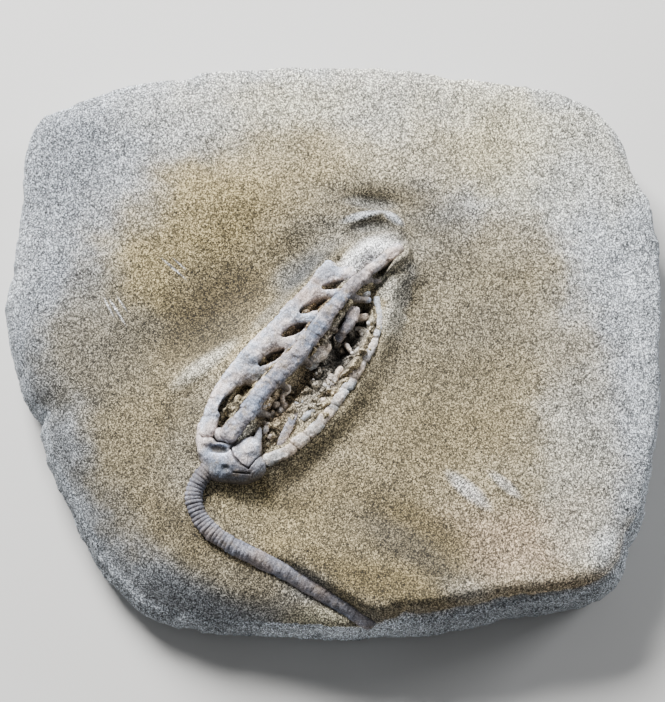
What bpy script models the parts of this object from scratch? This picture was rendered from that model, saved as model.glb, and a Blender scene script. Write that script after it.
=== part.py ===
"""Crinoid fossil: a crown and its curved stem, lying in a rounded piece of siltstone.

Run it with: blender --background --python part.py
The named sizes are in millimetres, and MM turns them into metres where a shape is made.
The stone lies flat on z = 0, with its middle over the origin. The stem runs out at the near
edge (-Y), and the arms of the crown point to the far right (+X, +Y).
"""

import math

import bmesh
import bpy
import numpy as np
from mathutils import Vector

MM = 0.001

# The stone. The outline is its widest line seen from above, anticlockwise from the right.
TOP_LEVEL = 15.2
OUTLINE = [
    (52.7, 12.1), (52.4, 21.4), (50.8, 24.8), (48.8, 27.8), (46.9, 34.7), (43.0, 39.2),
    (35.7, 42.7), (27.5, 43.8), (19.3, 45.0), (11.1, 46.3), (2.8, 46.8), (-3.7, 46.8),
    (-13.6, 46.3), (-20.2, 46.2), (-25.9, 44.7), (-32.5, 44.0), (-39.8, 41.6), (-45.4, 39.2),
    (-48.2, 38.1), (-49.2, 35.8), (-50.2, 32.4), (-50.2, 23.9), (-51.5, 12.1), (-53.0, 7.2),
    (-52.4, 4.0), (-50.4, -5.0), (-49.4, -8.3), (-47.2, -10.8), (-46.0, -17.0), (-42.6, -23.9),
    (-39.4, -31.1), (-36.3, -35.9), (-29.9, -42.0), (-25.2, -44.1), (-20.8, -44.9), (-14.5, -45.2),
    (-8.2, -45.5), (0.4, -46.0), (7.4, -45.5), (12.2, -45.9), (18.5, -45.1), (27.1, -43.0),
    (35.8, -41.7), (40.9, -40.7), (44.8, -38.3), (46.1, -35.5), (46.5, -32.7), (49.2, -27.9),
    (49.7, -23.9), (51.6, -14.1), (52.3, -0.1),
]
OUTLINE_EASE = math.radians(1.2)

# The edge, by azimuth in degrees: height of its upper line, how far that line lies inside the
# outline, and the width of the shoulder that falls to it from the top.
EDGE = [
    (0, 13.8, 0.9, 4), (45, 14.0, 0.8, 4), (90, 14.0, 0.8, 4), (135, 13.4, 0.9, 5),
    (180, 12.6, 1.2, 5), (200, 10.4, 1.8, 7), (222, 7.2, 2.2, 11), (240, 7.6, 2.2, 9),
    (252, 8.8, 2.2, 6), (268, 10.6, 2.2, 5), (276, 11.6, 2.4, 4), (282, 13.4, 2.8, 3),
    (315, 14.0, 2.4, 2.5), (340, 13.8, 1.2, 4),
]
BASE_INSET = 1.6

# The side from its upper line down: share of the inset and share of the edge's height.
SIDE_PROFILE = [(0.35, 0.86), (0.0, 0.55), (0.1, 0.22)]

# Swells and hollows of the top: place, half length, half width, turn in degrees, height.
RELIEF = [
    (-20.0, 7.0, 15.0, 8.5, 38, -2.6),
    (-6.0, 14.0, 7.0, 3.2, 38, -1.4),
    (-20.0, -4.5, 6.0, 2.2, 35, 1.5),
    (-8.0, -7.0, 17.0, 5.0, 49, 1.0),
    (2.5, -14.5, 15.0, 4.5, 50, -1.3),
    (3.2, 0.5, 5.5, 2.6, 62, -3.0),
    (-6.5, -13.0, 5.5, 3.0, 44, 0.9),
    (5.0, 13.4, 5.0, 2.2, 38, 2.0),
    (10.0, 6.0, 7.0, 3.6, 70, -1.3),
    (7.2, 22.6, 4.0, 1.3, -10, -1.2),
    (6.8, 19.9, 3.4, 0.9, -5, 1.5),
    (-13.0, 25.0, 16.0, 6.0, 5, 0.9),
    (26.0, 18.0, 12.0, 8.0, 20, 0.6),
    (25.0, -20.0, 14.0, 10.0, -20, 0.7),
    (12.0, -30.0, 9.0, 3.5, -25, -0.7),
    (-9.0, -27.0, 10.0, 4.0, -30, -1.0),
    (-10.0, -40.5, 13.0, 5.0, -28, -1.2),
    (-37.0, 2.0, 8.0, 12.0, 0, 0.5),
]

# The stone stands higher on the right of the last stretch of the stem.
STEP_START = (-9.0, -34.2)
STEP_END = (6.5, -43.4)
STEP_HEIGHT = 1.5
STEP_WIDTH = 1.1
STEP_RISE = 8
STEP_REACH = 16

# Mesh of the stone: its rings run from a pole beside the crown out to the edge.
STONE_POLE = (-6.0, -6.0)
STONE_SEGMENTS = 60
STONE_TOP_RINGS = 15
RING_CROWDING = 1.2
UNDERSIDE_RINGS = 2

# Routes of the stem and of the arms, from the cup outwards.
STEM_ROUTE = [
    (-18.6, -20.8, 16.3), (-20.7, -23.0, 16.0), (-21.5, -25.7, 15.7), (-20.3, -29.0, 15.4),
    (-17.9, -31.4, 15.1), (-14.2, -33.6, 14.7), (-7.5, -36.8, 14.0), (-1.8, -40.0, 13.0),
    (4.9, -43.9, 11.3),
]
LEFT_ROUTE = [
    (-19.4, -15.2, 17.1), (-18.4, -11.8, 17.4), (-17.0, -9.0, 17.5), (-13.6, -4.3, 17.6),
    (-9.4, 0.2, 17.5), (-5.1, 5.1, 17.3), (-1.5, 9.8, 17.0), (-0.5, 11.2, 16.9),
]
MIDDLE_ROUTE = [
    (-15.9, -16.0, 18.4), (-13.2, -12.7, 18.7), (-10.0, -8.3, 18.8), (-5.7, -3.7, 18.8),
    (-1.9, 1.4, 18.6), (2.0, 6.6, 18.3), (6.2, 10.7, 18.2), (10.4, 13.7, 18.2),
]
RIGHT_ROUTE = [
    (-9.8, -19.7, 16.4), (-6.9, -18.2, 16.6), (-2.7, -14.6, 16.7), (1.6, -9.4, 16.8),
    (5.2, -3.5, 16.7), (7.4, 2.3, 16.4), (7.0, 6.2, 16.0),
]
INNER_UPPER_ROUTE = [(3.2, 4.0, 16.6), (2.4, 1.9, 16.5), (1.0, 0.0, 15.9)]
INNER_LOWER_ROUTE = [(-7.9, -17.0, 15.9), (-6.6, -14.0, 16.2), (-5.3, -11.0, 16.1)]

# Stem: round discs, the columnals.
STEM_RADIUS_CUP = 1.42
STEM_RADIUS_END = 1.24
COLUMNAL_PITCH = 0.62
COLUMNAL_GROOVE = 0.87

# Arms: plates in a row, the brachials. Each row gives the radii at cup, middle and tip.
LEFT_RADII = (1.35, 1.45, 1.05)
MIDDLE_RADII = (1.50, 1.55, 0.95)
RIGHT_RADII = (1.05, 0.95, 0.80)
INNER_UPPER_RADII = (0.95, 0.95, 0.70)
INNER_LOWER_RADII = (0.60, 0.75, 0.45)
BRACHIAL_LENGTH = 2.9
BEAD_LENGTH = 2.6
SUTURE = 0.80

# Side branches, each from its arm to its end, with the radii at the two ends.
LEFT_BRANCHES = [
    (-14.9, -6.4, 17.5, -11.9, -4.6, 17.8, 0.95, 0.80),
    (-9.6, -0.6, 17.5, -6.2, -0.8, 18.0, 0.85, 0.80),
    (-6.4, 3.4, 17.4, -2.6, 3.7, 17.9, 0.85, 0.80),
    (-3.4, 7.0, 17.2, 0.6, 7.8, 17.7, 0.85, 0.80),
    (-1.6, 9.8, 17.0, 3.0, 10.6, 17.6, 0.85, 0.75),
]
MIDDLE_BRANCHES = [
    (-12.6, -12.2, 18.6, -10.0, -12.9, 17.4, 0.75, 0.50),
    (-9.2, -7.6, 18.6, -6.9, -8.9, 17.2, 0.70, 0.45),
    (-5.4, -3.6, 18.5, -3.3, -4.9, 17.0, 0.70, 0.45),
    (-1.6, 1.6, 18.3, 0.6, 0.8, 17.0, 0.70, 0.45),
    (1.6, 6.0, 18.1, 5.6, 5.9, 16.8, 0.60, 0.45),
    (4.2, 8.8, 18.0, 7.2, 8.9, 16.9, 0.65, 0.45),
]
RIGHT_BRANCHES = [
    (1.2, -9.8, 16.8, -0.2, -6.7, 15.6, 0.55, 0.40),
    (-3.2, -15.0, 16.7, -4.6, -12.3, 15.6, 0.55, 0.40),
]

# Cup: place, half sizes along, across and up, and turn in degrees, of the body and its plates.
CUP_BODY = (-15.5, -19.8, 15.8, 3.5, 5.4, 3.3, 75)
CUP_PLATES = [
    (-19.4, -17.6, 16.9, 2.3, 1.5, 1.7, 85),
    (-17.2, -17.8, 17.7, 2.0, 1.6, 1.8, 50),
    (-12.6, -19.1, 16.9, 2.7, 2.2, 2.2, 55),
    (-11.3, -16.9, 17.3, 1.7, 0.7, 1.0, 80),
    (-16.7, -21.5, 16.7, 1.9, 3.0, 2.0, 78),
]
CUP_PIT = (-16.2, -19.6, 19.6, 1.5, 1.3, 1.2, 20)

# Clearance between neighbours, which the stone and the pieces are cut back to.
GAP = 0.3
SPHERE_SAG = 0.12
CHORD_SAG = 0.08
TUBE_SIDES = 8
BRANCH_SIDES = 6
BRANCH_RISE = 0.25


def clear_scene():
    for obj in list(bpy.data.objects):
        bpy.data.objects.remove(obj, do_unlink=True)


def new_collection(name, shown):
    collection = bpy.data.collections.new(name)
    collection.hide_render = not shown
    bpy.context.scene.collection.children.link(collection)
    return collection


def stone_material(name, colour, roughness):
    material = bpy.data.materials.new(name)
    material.use_nodes = True
    shader = material.node_tree.nodes["Principled BSDF"]
    shader.inputs["Base Color"].default_value = (*colour, 1.0)
    shader.inputs["Roughness"].default_value = roughness
    shader.inputs["Metallic"].default_value = 0.0
    return material


def polar_outline():
    """Azimuths and radii of the outline's points, in order of azimuth."""
    points = np.array(OUTLINE)
    azimuth = np.arctan2(points[:, 1], points[:, 0]) % (2 * math.pi)
    order = np.argsort(azimuth)
    return azimuth[order], np.hypot(points[:, 0], points[:, 1])[order]


OUTLINE_AZIMUTH, OUTLINE_RADIUS = polar_outline()


def outline_radius(azimuth):
    """Radius of the outline, with its corners eased over a few degrees."""
    shifts = np.linspace(-OUTLINE_EASE, OUTLINE_EASE, 5)
    radii = [
        np.interp(azimuth + shift, OUTLINE_AZIMUTH, OUTLINE_RADIUS, period=2 * math.pi)
        for shift in shifts
    ]
    return np.mean(radii, axis=0)


def edge_value(azimuth, column):
    """One column of EDGE at these azimuths."""
    table = np.array(EDGE, float)
    return np.interp(np.degrees(azimuth), table[:, 0], table[:, column], period=360)


def smooth_route(points, step):
    """The points joined by a Catmull-Rom curve, as stations about one step apart."""
    points = np.array(points, float)
    padded = np.vstack([2 * points[0] - points[1], points, 2 * points[-1] - points[-2]])
    t = np.linspace(0, 1, 16, endpoint=False)[:, None]
    spans = []
    for a, b, c, d in zip(padded, padded[1:], padded[2:], padded[3:]):
        spans.append(
            0.5 * (2 * b + (c - a) * t + (2 * a - 5 * b + 4 * c - d) * t**2
                   + (3 * b - a - 3 * c + d) * t**3)
        )
    dense = np.vstack([*spans, points[-1:]])
    length = np.concatenate([[0], np.cumsum(np.linalg.norm(np.diff(dense, axis=0), axis=1))])
    count = max(2, round(length[-1] / step) + 1)
    at = np.linspace(0, length[-1], count)
    return np.stack([np.interp(at, length, dense[:, k]) for k in range(3)], axis=1)


def radii_along(count, radii):
    """Radii at so many stations, from the ones at the start, the middle and the end."""
    return np.interp(np.linspace(0, 1, count), (0, 0.5, 1), radii)


def nearest(route, x, y):
    """Distance in plan from each point to the route, the route's height there, and the side."""
    gap = np.full(np.shape(x), np.inf)
    height = np.zeros(np.shape(x))
    on_left = np.zeros(np.shape(x), bool)
    for a, b in zip(route, route[1:]):
        span = b[:2] - a[:2]
        t = np.clip(((x - a[0]) * span[0] + (y - a[1]) * span[1]) / (span @ span), 0, 1)
        here = np.hypot(x - a[0] - t * span[0], y - a[1] - t * span[1])
        closer = here < gap
        height = np.where(closer, a[2] + t * (b[2] - a[2]), height)
        on_left = np.where(closer, span[0] * (y - a[1]) > span[1] * (x - a[0]), on_left)
        gap = np.minimum(gap, here)
    return gap, height, on_left


# The stone is banked up against each arm: route, radius, depth of the bank below the axis, and
# how far it reaches on the left and on the right.
BANKS = [
    (smooth_route(LEFT_ROUTE, 3), LEFT_RADII[1], 0.5, 2.2, 0.4),
    (smooth_route(MIDDLE_ROUTE, 3), MIDDLE_RADII[1], 0.9, 0.5, 0.5),
    (smooth_route(RIGHT_ROUTE, 3), RIGHT_RADII[1], 0.3, 0.7, 0.8),
]


def bump(x, y, feature):
    """A smooth round swell or hollow, worth its height in the middle."""
    centre_x, centre_y, half_length, half_width, turn, height = feature
    turn = math.radians(turn)
    along = (x - centre_x) * math.cos(turn) + (y - centre_y) * math.sin(turn)
    across = (y - centre_y) * math.cos(turn) - (x - centre_x) * math.sin(turn)
    return height * np.exp(-((along / half_length) ** 2) - (across / half_width) ** 2)


def smoothstep(value):
    value = np.clip(value, 0, 1)
    return value * value * (3 - 2 * value)


def step_beside_stem(x, y):
    """The higher ground on the right of the stem's last stretch."""
    start = np.array(STEP_START)
    run = np.array(STEP_END) - start
    length = np.hypot(*run)
    along = ((x - start[0]) * run[0] + (y - start[1]) * run[1]) / length
    across = ((y - start[1]) * run[0] - (x - start[0]) * run[1]) / length
    away = np.exp(-(np.maximum(across, 0) / STEP_REACH) ** 2)
    return STEP_HEIGHT * smoothstep(across / STEP_WIDTH) * smoothstep(along / STEP_RISE + 0.4) * away


def ground(x, y):
    """Height of the stone's top, with no fossil on it."""
    level = TOP_LEVEL + sum(bump(x, y, feature) for feature in RELIEF)
    level = level + step_beside_stem(x, y)
    for route, radius, depth, reach_left, reach_right in BANKS:
        gap, height, on_left = nearest(route, x, y)
        reach = np.where(on_left, reach_left, reach_right)
        share = np.exp(-(np.maximum(gap - radius, 0) / reach) ** 2)
        level = level + np.maximum(height - depth - level, 0) * share
    azimuth = np.arctan2(y, x) % (2 * math.pi)
    edge_height = edge_value(azimuth, 1)
    inside = outline_radius(azimuth) - edge_value(azimuth, 2) - np.hypot(x, y)
    share = np.clip(inside / edge_value(azimuth, 3), 0, 1)
    return edge_height + (level - edge_height) * share * (2 - share)


def make_stone(collection, material):
    """A sphere whose rings become the top, the side and the flat underside."""
    side_rings = STONE_TOP_RINGS + len(SIDE_PROFILE)
    rings = side_rings + 1 + UNDERSIDE_RINGS
    stone = bmesh.new()
    bmesh.ops.create_uvsphere(stone, u_segments=STONE_SEGMENTS, v_segments=rings, radius=1)
    for vert in stone.verts:
        azimuth = math.atan2(vert.co.y, vert.co.x) % (2 * math.pi)
        outward = np.array([math.cos(azimuth), math.sin(azimuth)])
        ring = round(math.acos(max(-1, min(1, vert.co.z))) / math.pi * rings)
        radius = float(outline_radius(azimuth))
        inset = float(edge_value(azimuth, 2))
        height = float(edge_value(azimuth, 1))
        if ring <= STONE_TOP_RINGS:
            share = (ring / STONE_TOP_RINGS) ** RING_CROWDING
            x, y = np.array(STONE_POLE) * (1 - share) + outward * (radius - inset) * share
            level = float(ground(x, y))
        elif ring <= side_rings:
            inset_share, height_share = SIDE_PROFILE[ring - STONE_TOP_RINGS - 1]
            x, y = outward * (radius - inset * inset_share)
            level = height * height_share
        else:
            x, y = outward * (radius - BASE_INSET) * (rings - ring) / UNDERSIDE_RINGS
            level = 0
        vert.co = Vector((x, y, level)) * MM
    bmesh.ops.recalc_face_normals(stone, faces=stone.faces)
    return object_from(stone, "matrix", collection, material)


def object_from(shape, name, collection, material=None):
    """A new object from a bmesh, shaded smooth but for its sharp edges."""
    mesh = bpy.data.meshes.new(name)
    shape.to_mesh(mesh)
    shape.free()
    mesh.shade_smooth()
    mesh.set_sharp_from_angle(angle=math.radians(50))
    return place_mesh(mesh, name, collection, material)


def place_mesh(mesh, name, collection, material=None):
    obj = bpy.data.objects.new(name, mesh)
    collection.objects.link(obj)
    if material:
        mesh.materials.append(material)
    else:
        obj.hide_render = True
        obj.display_type = "WIRE"
    return obj


def tube(name, stations, radii, collection, material=None, sides=TUBE_SIDES):
    """A closed tube through the stations, with its own radius at each."""
    curve = bpy.data.curves.new(name, "CURVE")
    curve.dimensions = "3D"
    curve.bevel_depth = MM
    curve.bevel_resolution = sides // 2 - 2
    curve.use_fill_caps = True
    spline = curve.splines.new("POLY")
    spline.points.add(len(stations) - 1)
    for point, station, radius in zip(spline.points, stations, radii):
        point.co = (*(station * MM), 1)
        point.radius = radius
    guide = bpy.data.objects.new(name + "_guide", curve)
    collection.objects.link(guide)
    graph = bpy.context.evaluated_depsgraph_get()
    mesh = bpy.data.meshes.new_from_object(guide.evaluated_get(graph))
    bpy.data.objects.remove(guide, do_unlink=True)
    mesh.materials.clear()
    shape = bmesh.new()
    shape.from_mesh(mesh)
    bpy.data.meshes.remove(mesh)
    bmesh.ops.remove_doubles(shape, verts=shape.verts, dist=1e-6)
    bmesh.ops.recalc_face_normals(shape, faces=shape.faces)
    return object_from(shape, name, collection, material)


def ellipsoid(name, form, collection, material=None, grow=0.0, segments=10):
    """A sphere drawn out to the half sizes in the form, then turned about Z and placed."""
    x, y, z, along, across, up, turn = form
    shape = bmesh.new()
    bmesh.ops.create_uvsphere(shape, u_segments=segments, v_segments=segments * 5 // 8, radius=MM)
    bmesh.ops.scale(shape, vec=(along + grow, across + grow, up + grow), verts=shape.verts)
    obj = object_from(shape, name, collection, material)
    obj.location = (x * MM, y * MM, z * MM)
    obj.rotation_euler.z = math.radians(turn)
    return obj


def combine(obj, other, operation, solver="EXACT"):
    modifier = obj.modifiers.new(f"{operation.lower()}_{other.name}", "BOOLEAN")
    modifier.operation = operation
    modifier.solver = solver
    modifier.object = other


def make_stem(collection, material):
    stations = smooth_route(STEM_ROUTE, COLUMNAL_PITCH / 2)
    radii = np.linspace(STEM_RADIUS_CUP, STEM_RADIUS_END, len(stations))
    radii[1::2] *= COLUMNAL_GROOVE
    return tube("stem", stations, radii, collection, material)


def arm_tube(name, route, radii, plate, collection, material):
    """Three stations to a plate, the first one drawn in at the suture."""
    stations = smooth_route(route, plate / 3)
    sizes = radii_along(len(stations), radii)
    sizes[::3] *= SUTURE
    return tube(name, stations, sizes, collection, material)


def branch(name, form, grow, helpers):
    x0, y0, z0, x1, y1, z1, radius0, radius1 = form
    middle = ((x0 + x1) / 2, (y0 + y1) / 2, (z0 + z1) / 2 + BRANCH_RISE)
    stations = smooth_route([(x0, y0, z0), middle, (x1, y1, z1)], 1.6)
    if grow:
        last = stations[-1] - stations[-2]
        stations[-1] += last / np.linalg.norm(last) * grow
    radii = np.linspace(radius0, radius1, len(stations)) + grow / math.cos(math.pi / BRANCH_SIDES)
    return tube(name, stations, radii, helpers, sides=BRANCH_SIDES)


def add_branches(arm, stone, branches, helpers):
    """Joins the branches to their arm, and clears the stone and nothing else around them."""
    for number, form in enumerate(branches):
        name = f"{arm.name}_branch_{number}"
        combine(arm, branch(name, form, 0, helpers), "UNION")
        combine(stone, branch("room_" + name, form, GAP, helpers), "DIFFERENCE", "MANIFOLD")


def make_cup(collection, helpers, material):
    cup = ellipsoid("calyx", CUP_BODY, collection, material, segments=16)
    for number, form in enumerate(CUP_PLATES):
        combine(cup, ellipsoid(f"calyx_plate_{number}", form, helpers, segments=12), "UNION")
    combine(cup, ellipsoid("calyx_pit", CUP_PIT, helpers), "DIFFERENCE")
    return cup


def room_for_route(name, route, radii, helpers):
    """Cutter that clears a tube all round, measured at the flats of its sides."""
    stations = smooth_route(route, 3.0)
    ends = stations[[0, -1]]
    outward = np.array([stations[0] - stations[1], stations[-1] - stations[-2]])
    outward = outward / np.linalg.norm(outward, axis=1)[:, None] * GAP
    stations = np.vstack([ends[:1] + outward[:1], stations, ends[1:] + outward[1:]])
    sizes = (radii_along(len(stations), radii) + GAP + CHORD_SAG) / math.cos(math.pi / TUBE_SIDES)
    return tube(name, stations, sizes, helpers)


def room_for_cup(helpers):
    """The cup with its plates, grown by the gap on every side."""
    grow = GAP + SPHERE_SAG
    room = ellipsoid("room_calyx", CUP_BODY, helpers, grow=grow, segments=16)
    for number, form in enumerate(CUP_PLATES):
        combine(room, ellipsoid(f"room_calyx_plate_{number}", form, helpers, grow=grow), "UNION")
    return room


def main():
    clear_scene()
    parts = new_collection("crinoid_fossil", shown=True)
    helpers = new_collection("cutters", shown=False)

    siltstone = stone_material("siltstone", (0.38, 0.33, 0.25), 0.95)
    column = stone_material("fossil_stem", (0.30, 0.28, 0.30), 0.85)
    plates = stone_material("fossil_cup", (0.36, 0.35, 0.37), 0.80)
    arms = stone_material("fossil_arms", (0.42, 0.40, 0.40), 0.82)

    stone = make_stone(parts, siltstone)
    stem = make_stem(parts, column)
    cup = make_cup(parts, helpers, plates)
    left = arm_tube("arm_left", LEFT_ROUTE, LEFT_RADII, BRACHIAL_LENGTH, parts, arms)
    middle = arm_tube("arm_middle", MIDDLE_ROUTE, MIDDLE_RADII, BRACHIAL_LENGTH, parts, arms)
    right = arm_tube("arm_right", RIGHT_ROUTE, RIGHT_RADII, BEAD_LENGTH, parts, arms)
    inner_upper = arm_tube("inner_arm_upper", INNER_UPPER_ROUTE, INNER_UPPER_RADII,
                           BEAD_LENGTH, parts, arms)
    inner_lower = arm_tube("inner_arm_lower", INNER_LOWER_ROUTE, INNER_LOWER_RADII,
                           BEAD_LENGTH, parts, arms)
    for arm, branches in ((left, LEFT_BRANCHES), (middle, MIDDLE_BRANCHES), (right, RIGHT_BRANCHES)):
        add_branches(arm, stone, branches, helpers)

    stem_radii = (STEM_RADIUS_CUP, (STEM_RADIUS_CUP + STEM_RADIUS_END) / 2, STEM_RADIUS_END)
    stem_room = room_for_route("room_stem", STEM_ROUTE, stem_radii, helpers)
    left_room = room_for_route("room_left", LEFT_ROUTE, LEFT_RADII, helpers)
    middle_room = room_for_route("room_middle", MIDDLE_ROUTE, MIDDLE_RADII, helpers)
    right_room = room_for_route("room_right", RIGHT_ROUTE, RIGHT_RADII, helpers)
    upper_room = room_for_route("room_upper", INNER_UPPER_ROUTE, INNER_UPPER_RADII, helpers)
    lower_room = room_for_route("room_lower", INNER_LOWER_ROUTE, INNER_LOWER_RADII, helpers)

    cup_room = room_for_cup(helpers)
    for piece in (stem, left, middle, right):
        combine(piece, cup_room, "DIFFERENCE")
    combine(left, middle_room, "DIFFERENCE")
    combine(inner_upper, middle_room, "DIFFERENCE")
    for room in (cup_room, stem_room, left_room, middle_room, right_room, upper_room, lower_room):
        combine(stone, room, "DIFFERENCE", "MANIFOLD")


main()
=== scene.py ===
"""Looks of the crinoid fossil in its siltstone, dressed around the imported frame.

Sizes and places are in millimetres, and MM turns them into metres where a mesh or a lamp is made.
The stone lies on z = 0. The stem runs out at the near edge (-Y), and the arms of the crown point
to the far right (+X, +Y). The stone's outline, relief and the routes of the stem and the arms are
the ones that the frame was built from, and everything finer is added here.
"""

import math

import bpy
import numpy as np
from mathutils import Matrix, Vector, noise


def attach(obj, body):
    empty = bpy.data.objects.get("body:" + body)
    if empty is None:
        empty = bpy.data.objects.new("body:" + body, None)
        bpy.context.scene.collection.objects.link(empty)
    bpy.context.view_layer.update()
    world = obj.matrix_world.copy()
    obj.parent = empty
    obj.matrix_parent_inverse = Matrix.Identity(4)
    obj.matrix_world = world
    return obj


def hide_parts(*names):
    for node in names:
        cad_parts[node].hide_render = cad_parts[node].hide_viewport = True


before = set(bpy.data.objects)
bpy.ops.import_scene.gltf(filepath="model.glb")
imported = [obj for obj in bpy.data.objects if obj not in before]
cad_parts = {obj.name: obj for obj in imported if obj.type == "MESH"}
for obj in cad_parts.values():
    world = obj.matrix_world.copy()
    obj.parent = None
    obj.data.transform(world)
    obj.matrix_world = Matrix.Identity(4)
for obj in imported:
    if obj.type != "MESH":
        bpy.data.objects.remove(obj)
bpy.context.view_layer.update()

MM = 0.001
BODY = "root"

# The stone. The outline is its widest line seen from above, anticlockwise from the right.
TOP_LEVEL = 15.2
OUTLINE = [
    (52.7, 12.1), (52.4, 21.4), (50.8, 24.8), (48.8, 27.8), (46.9, 34.7), (43, 39.2), (35.7, 42.7),
    (27.5, 43.8), (19.3, 45), (11.1, 46.3), (2.8, 46.8), (-3.7, 46.8), (-13.6, 46.3), (-20.2, 46.2),
    (-25.9, 44.7), (-32.5, 44), (-39.8, 41.6), (-45.4, 39.2), (-48.2, 38.1), (-49.2, 35.8),
    (-50.2, 32.4), (-50.2, 23.9), (-51.5, 12.1), (-53, 7.2), (-52.4, 4), (-50.4, -5), (-49.4, -8.3),
    (-47.2, -10.8), (-46, -17), (-42.6, -23.9), (-39.4, -31.1), (-36.3, -35.9), (-29.9, -42),
    (-25.2, -44.1), (-20.8, -44.9), (-14.5, -45.2), (-8.2, -45.5), (0.4, -46), (7.4, -45.5),
    (12.2, -45.9), (18.5, -45.1), (27.1, -43), (35.8, -41.7), (40.9, -40.7), (44.8, -38.3),
    (46.1, -35.5), (46.5, -32.7), (49.2, -27.9), (49.7, -23.9), (51.6, -14.1), (52.3, -0.1),
]
OUTLINE_EASE = math.radians(1.2)

# The edge, by azimuth in degrees: height of its upper line, how far that line lies inside the
# outline, and the width of the shoulder that falls to it from the top.
EDGE = [
    (0, 13.8, 0.9, 4), (45, 14, 0.8, 4), (90, 14, 0.8, 4), (135, 13.4, 0.9, 5), (180, 12.6, 1.2, 5),
    (200, 10.4, 1.8, 7), (222, 7.2, 2.2, 11), (240, 7.6, 2.2, 9), (252, 9.2, 1.7, 7),
    (268, 11.6, 0.9, 6), (276, 12.4, 0.7, 3), (280, 13.3, 1, 2.2), (284, 13.6, 2.6, 2.2),
    (315, 14, 2.4, 2.5), (340, 13.8, 1.2, 4),
]

# The side from its upper line down: share of the inset and share of the edge's height.
SIDE_PROFILE = [(1.0, 1.0), (0.35, 0.86), (0.0, 0.55), (0.1, 0.22), (0.6, 0.0)]

# Swells and hollows of the top: place, half length, half width, turn in degrees, height.
RELIEF = [
    (-20, 7, 15, 8.5, 38, -2.6), (-6, 14, 7, 3.2, 38, -1.4), (-20, -4.5, 6, 2.2, 35, 1.5),
    (-8, -7, 17, 5, 49, 1), (2.5, -14.5, 15, 4.5, 50, -1.3), (3.2, 0.5, 5.5, 2.6, 62, -3),
    (-6.5, -13, 5.5, 3, 44, 0.9), (5, 13.4, 5, 2.2, 38, 2), (10, 6, 7, 3.6, 70, -1.3),
    (7.2, 22.6, 4, 1.3, -10, -1.2), (6.8, 19.9, 3.4, 0.9, -5, 1.5), (-13, 25, 16, 6, 5, 0.9),
    (26, 18, 12, 8, 20, 0.6), (25, -20, 14, 10, -20, 0.7), (12, -30, 9, 3.5, -25, -0.7),
    (-9, -27, 10, 4, -30, -1), (-10, -40.5, 13, 5, -28, -1.2), (-37, 2, 8, 12, 0, 0.5),
]

# The stone stands higher on the right of the last stretch of the stem.
STEP_START = (-9.4, -34.7)
STEP_END = (6.1, -43.9)
STEP_HEIGHT = 1.5
STEP_WIDTH = 0.8
STEP_RISE = 8
STEP_REACH = 16

# Routes of the stem and of the arms, from the cup outwards.
STEM_ROUTE = [
    (-18.6, -20.8, 16.3), (-20.7, -23, 16), (-21.5, -25.7, 15.7), (-20.3, -29, 15.4),
    (-17.9, -31.4, 15.1), (-14.2, -33.6, 14.7), (-7.5, -36.8, 14.1), (-1.8, -40, 13.3),
    (4.9, -43.9, 11.9), (6, -44.6, 11.4),
]
LEFT_ROUTE = [
    (-19.4, -15.2, 17.1), (-18.4, -11.8, 17.4), (-17, -9, 17.5), (-13.6, -4.3, 17.6),
    (-9.4, 0.2, 17.5), (-5.1, 5.1, 17.3), (-1.5, 9.8, 17), (-0.5, 11.2, 16.9),
]
MIDDLE_ROUTE = [
    (-15.9, -16, 18.4), (-13.2, -12.7, 18.7), (-10, -8.3, 18.8), (-5.7, -3.7, 18.8),
    (-1.9, 1.4, 18.6), (2, 6.6, 18.3), (6.2, 10.7, 18.2), (10.4, 13.7, 18.2),
]
RIGHT_ROUTE = [
    (-9.8, -19.7, 16.4), (-6.9, -18.2, 16.6), (-2.7, -14.6, 16.7), (1.6, -9.4, 16.8),
    (5.2, -3.5, 16.7), (7.4, 2.3, 16.4), (7, 6.2, 16),
]

# The fossil's surfaces come from grids of this spacing. A point looks this many steps round it for
# edges and creases, which get painted highlight and shade, and for the top of the piece above it,
# below which it gets painted shade and dust.
VOXEL = 0.12
FAR = 2.0
SWELL_REACH = 5
TOP_REACH = 12
# How much more sunken a point counts per millimetre below a piece's given level, for painted shade and
# dust.
SHADE_SLOPE = 0.55

# Arms: squareness of their section, the seams between plates, and how softly pieces join.
ARM_SQUARENESS = 2.9
SEAM_WIDTH = 0.13
SEAM_SHADE = 0.16
SEAM_SLANT = 0.18
ARM_BLEND = 0.3
WEB_BLEND = 0.8
WINDOW_BLEND = 0.15
STUB_BLEND = 0.6

# Roughness, as layers of noise: height, size of the features, octaves and shift.
CALCITE_ROUGH = [(0.20, 2.4, 3, 0), (0.11, 0.95, 2, 5), (0.045, 0.38, 2, 9)]
TOP_ROUGH = [(0.30, 11, 3, 0), (0.10, 2.6, 3, 7), (0.07, 0.8, 2, 3)]
CROWN_ROUGH = [(0.22, 2.6, 3, 7), (0.16, 0.8, 2, 3)]
RIM_CHIPS = [(0.55, 4.5, 2, 5), (0.30, 1.3, 2, 0)]
SIDE_PITS = [(0.60, 5, 3, 0), (0.35, 1.6, 3, 4)]
UNDERSIDE_ROUGH = [(0.25, 6, 3, 0)]

# Stem: columnals, each from groove to groove, as shares of the pitch and of the radius.
STEM_RADIUS_CUP = 1.42
STEM_RADIUS_END = 1.24
COLUMNAL_PITCH = 0.62
COLUMNAL_PROFILE = [(0.0, 0.86), (0.14, 0.96), (0.32, 1.0), (0.66, 1.0), (0.84, 0.96)]
STEM_SIDES = 32
STEM_WORN_FROM = 0.20
STEM_WORN_BY = 0.3
STEM_WORN = 0.85
STEM_ROUGH = 0.7
# How much painted shade and dust grows round the stem, from one side to the other.
STEM_SHADE = 0.7

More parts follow.
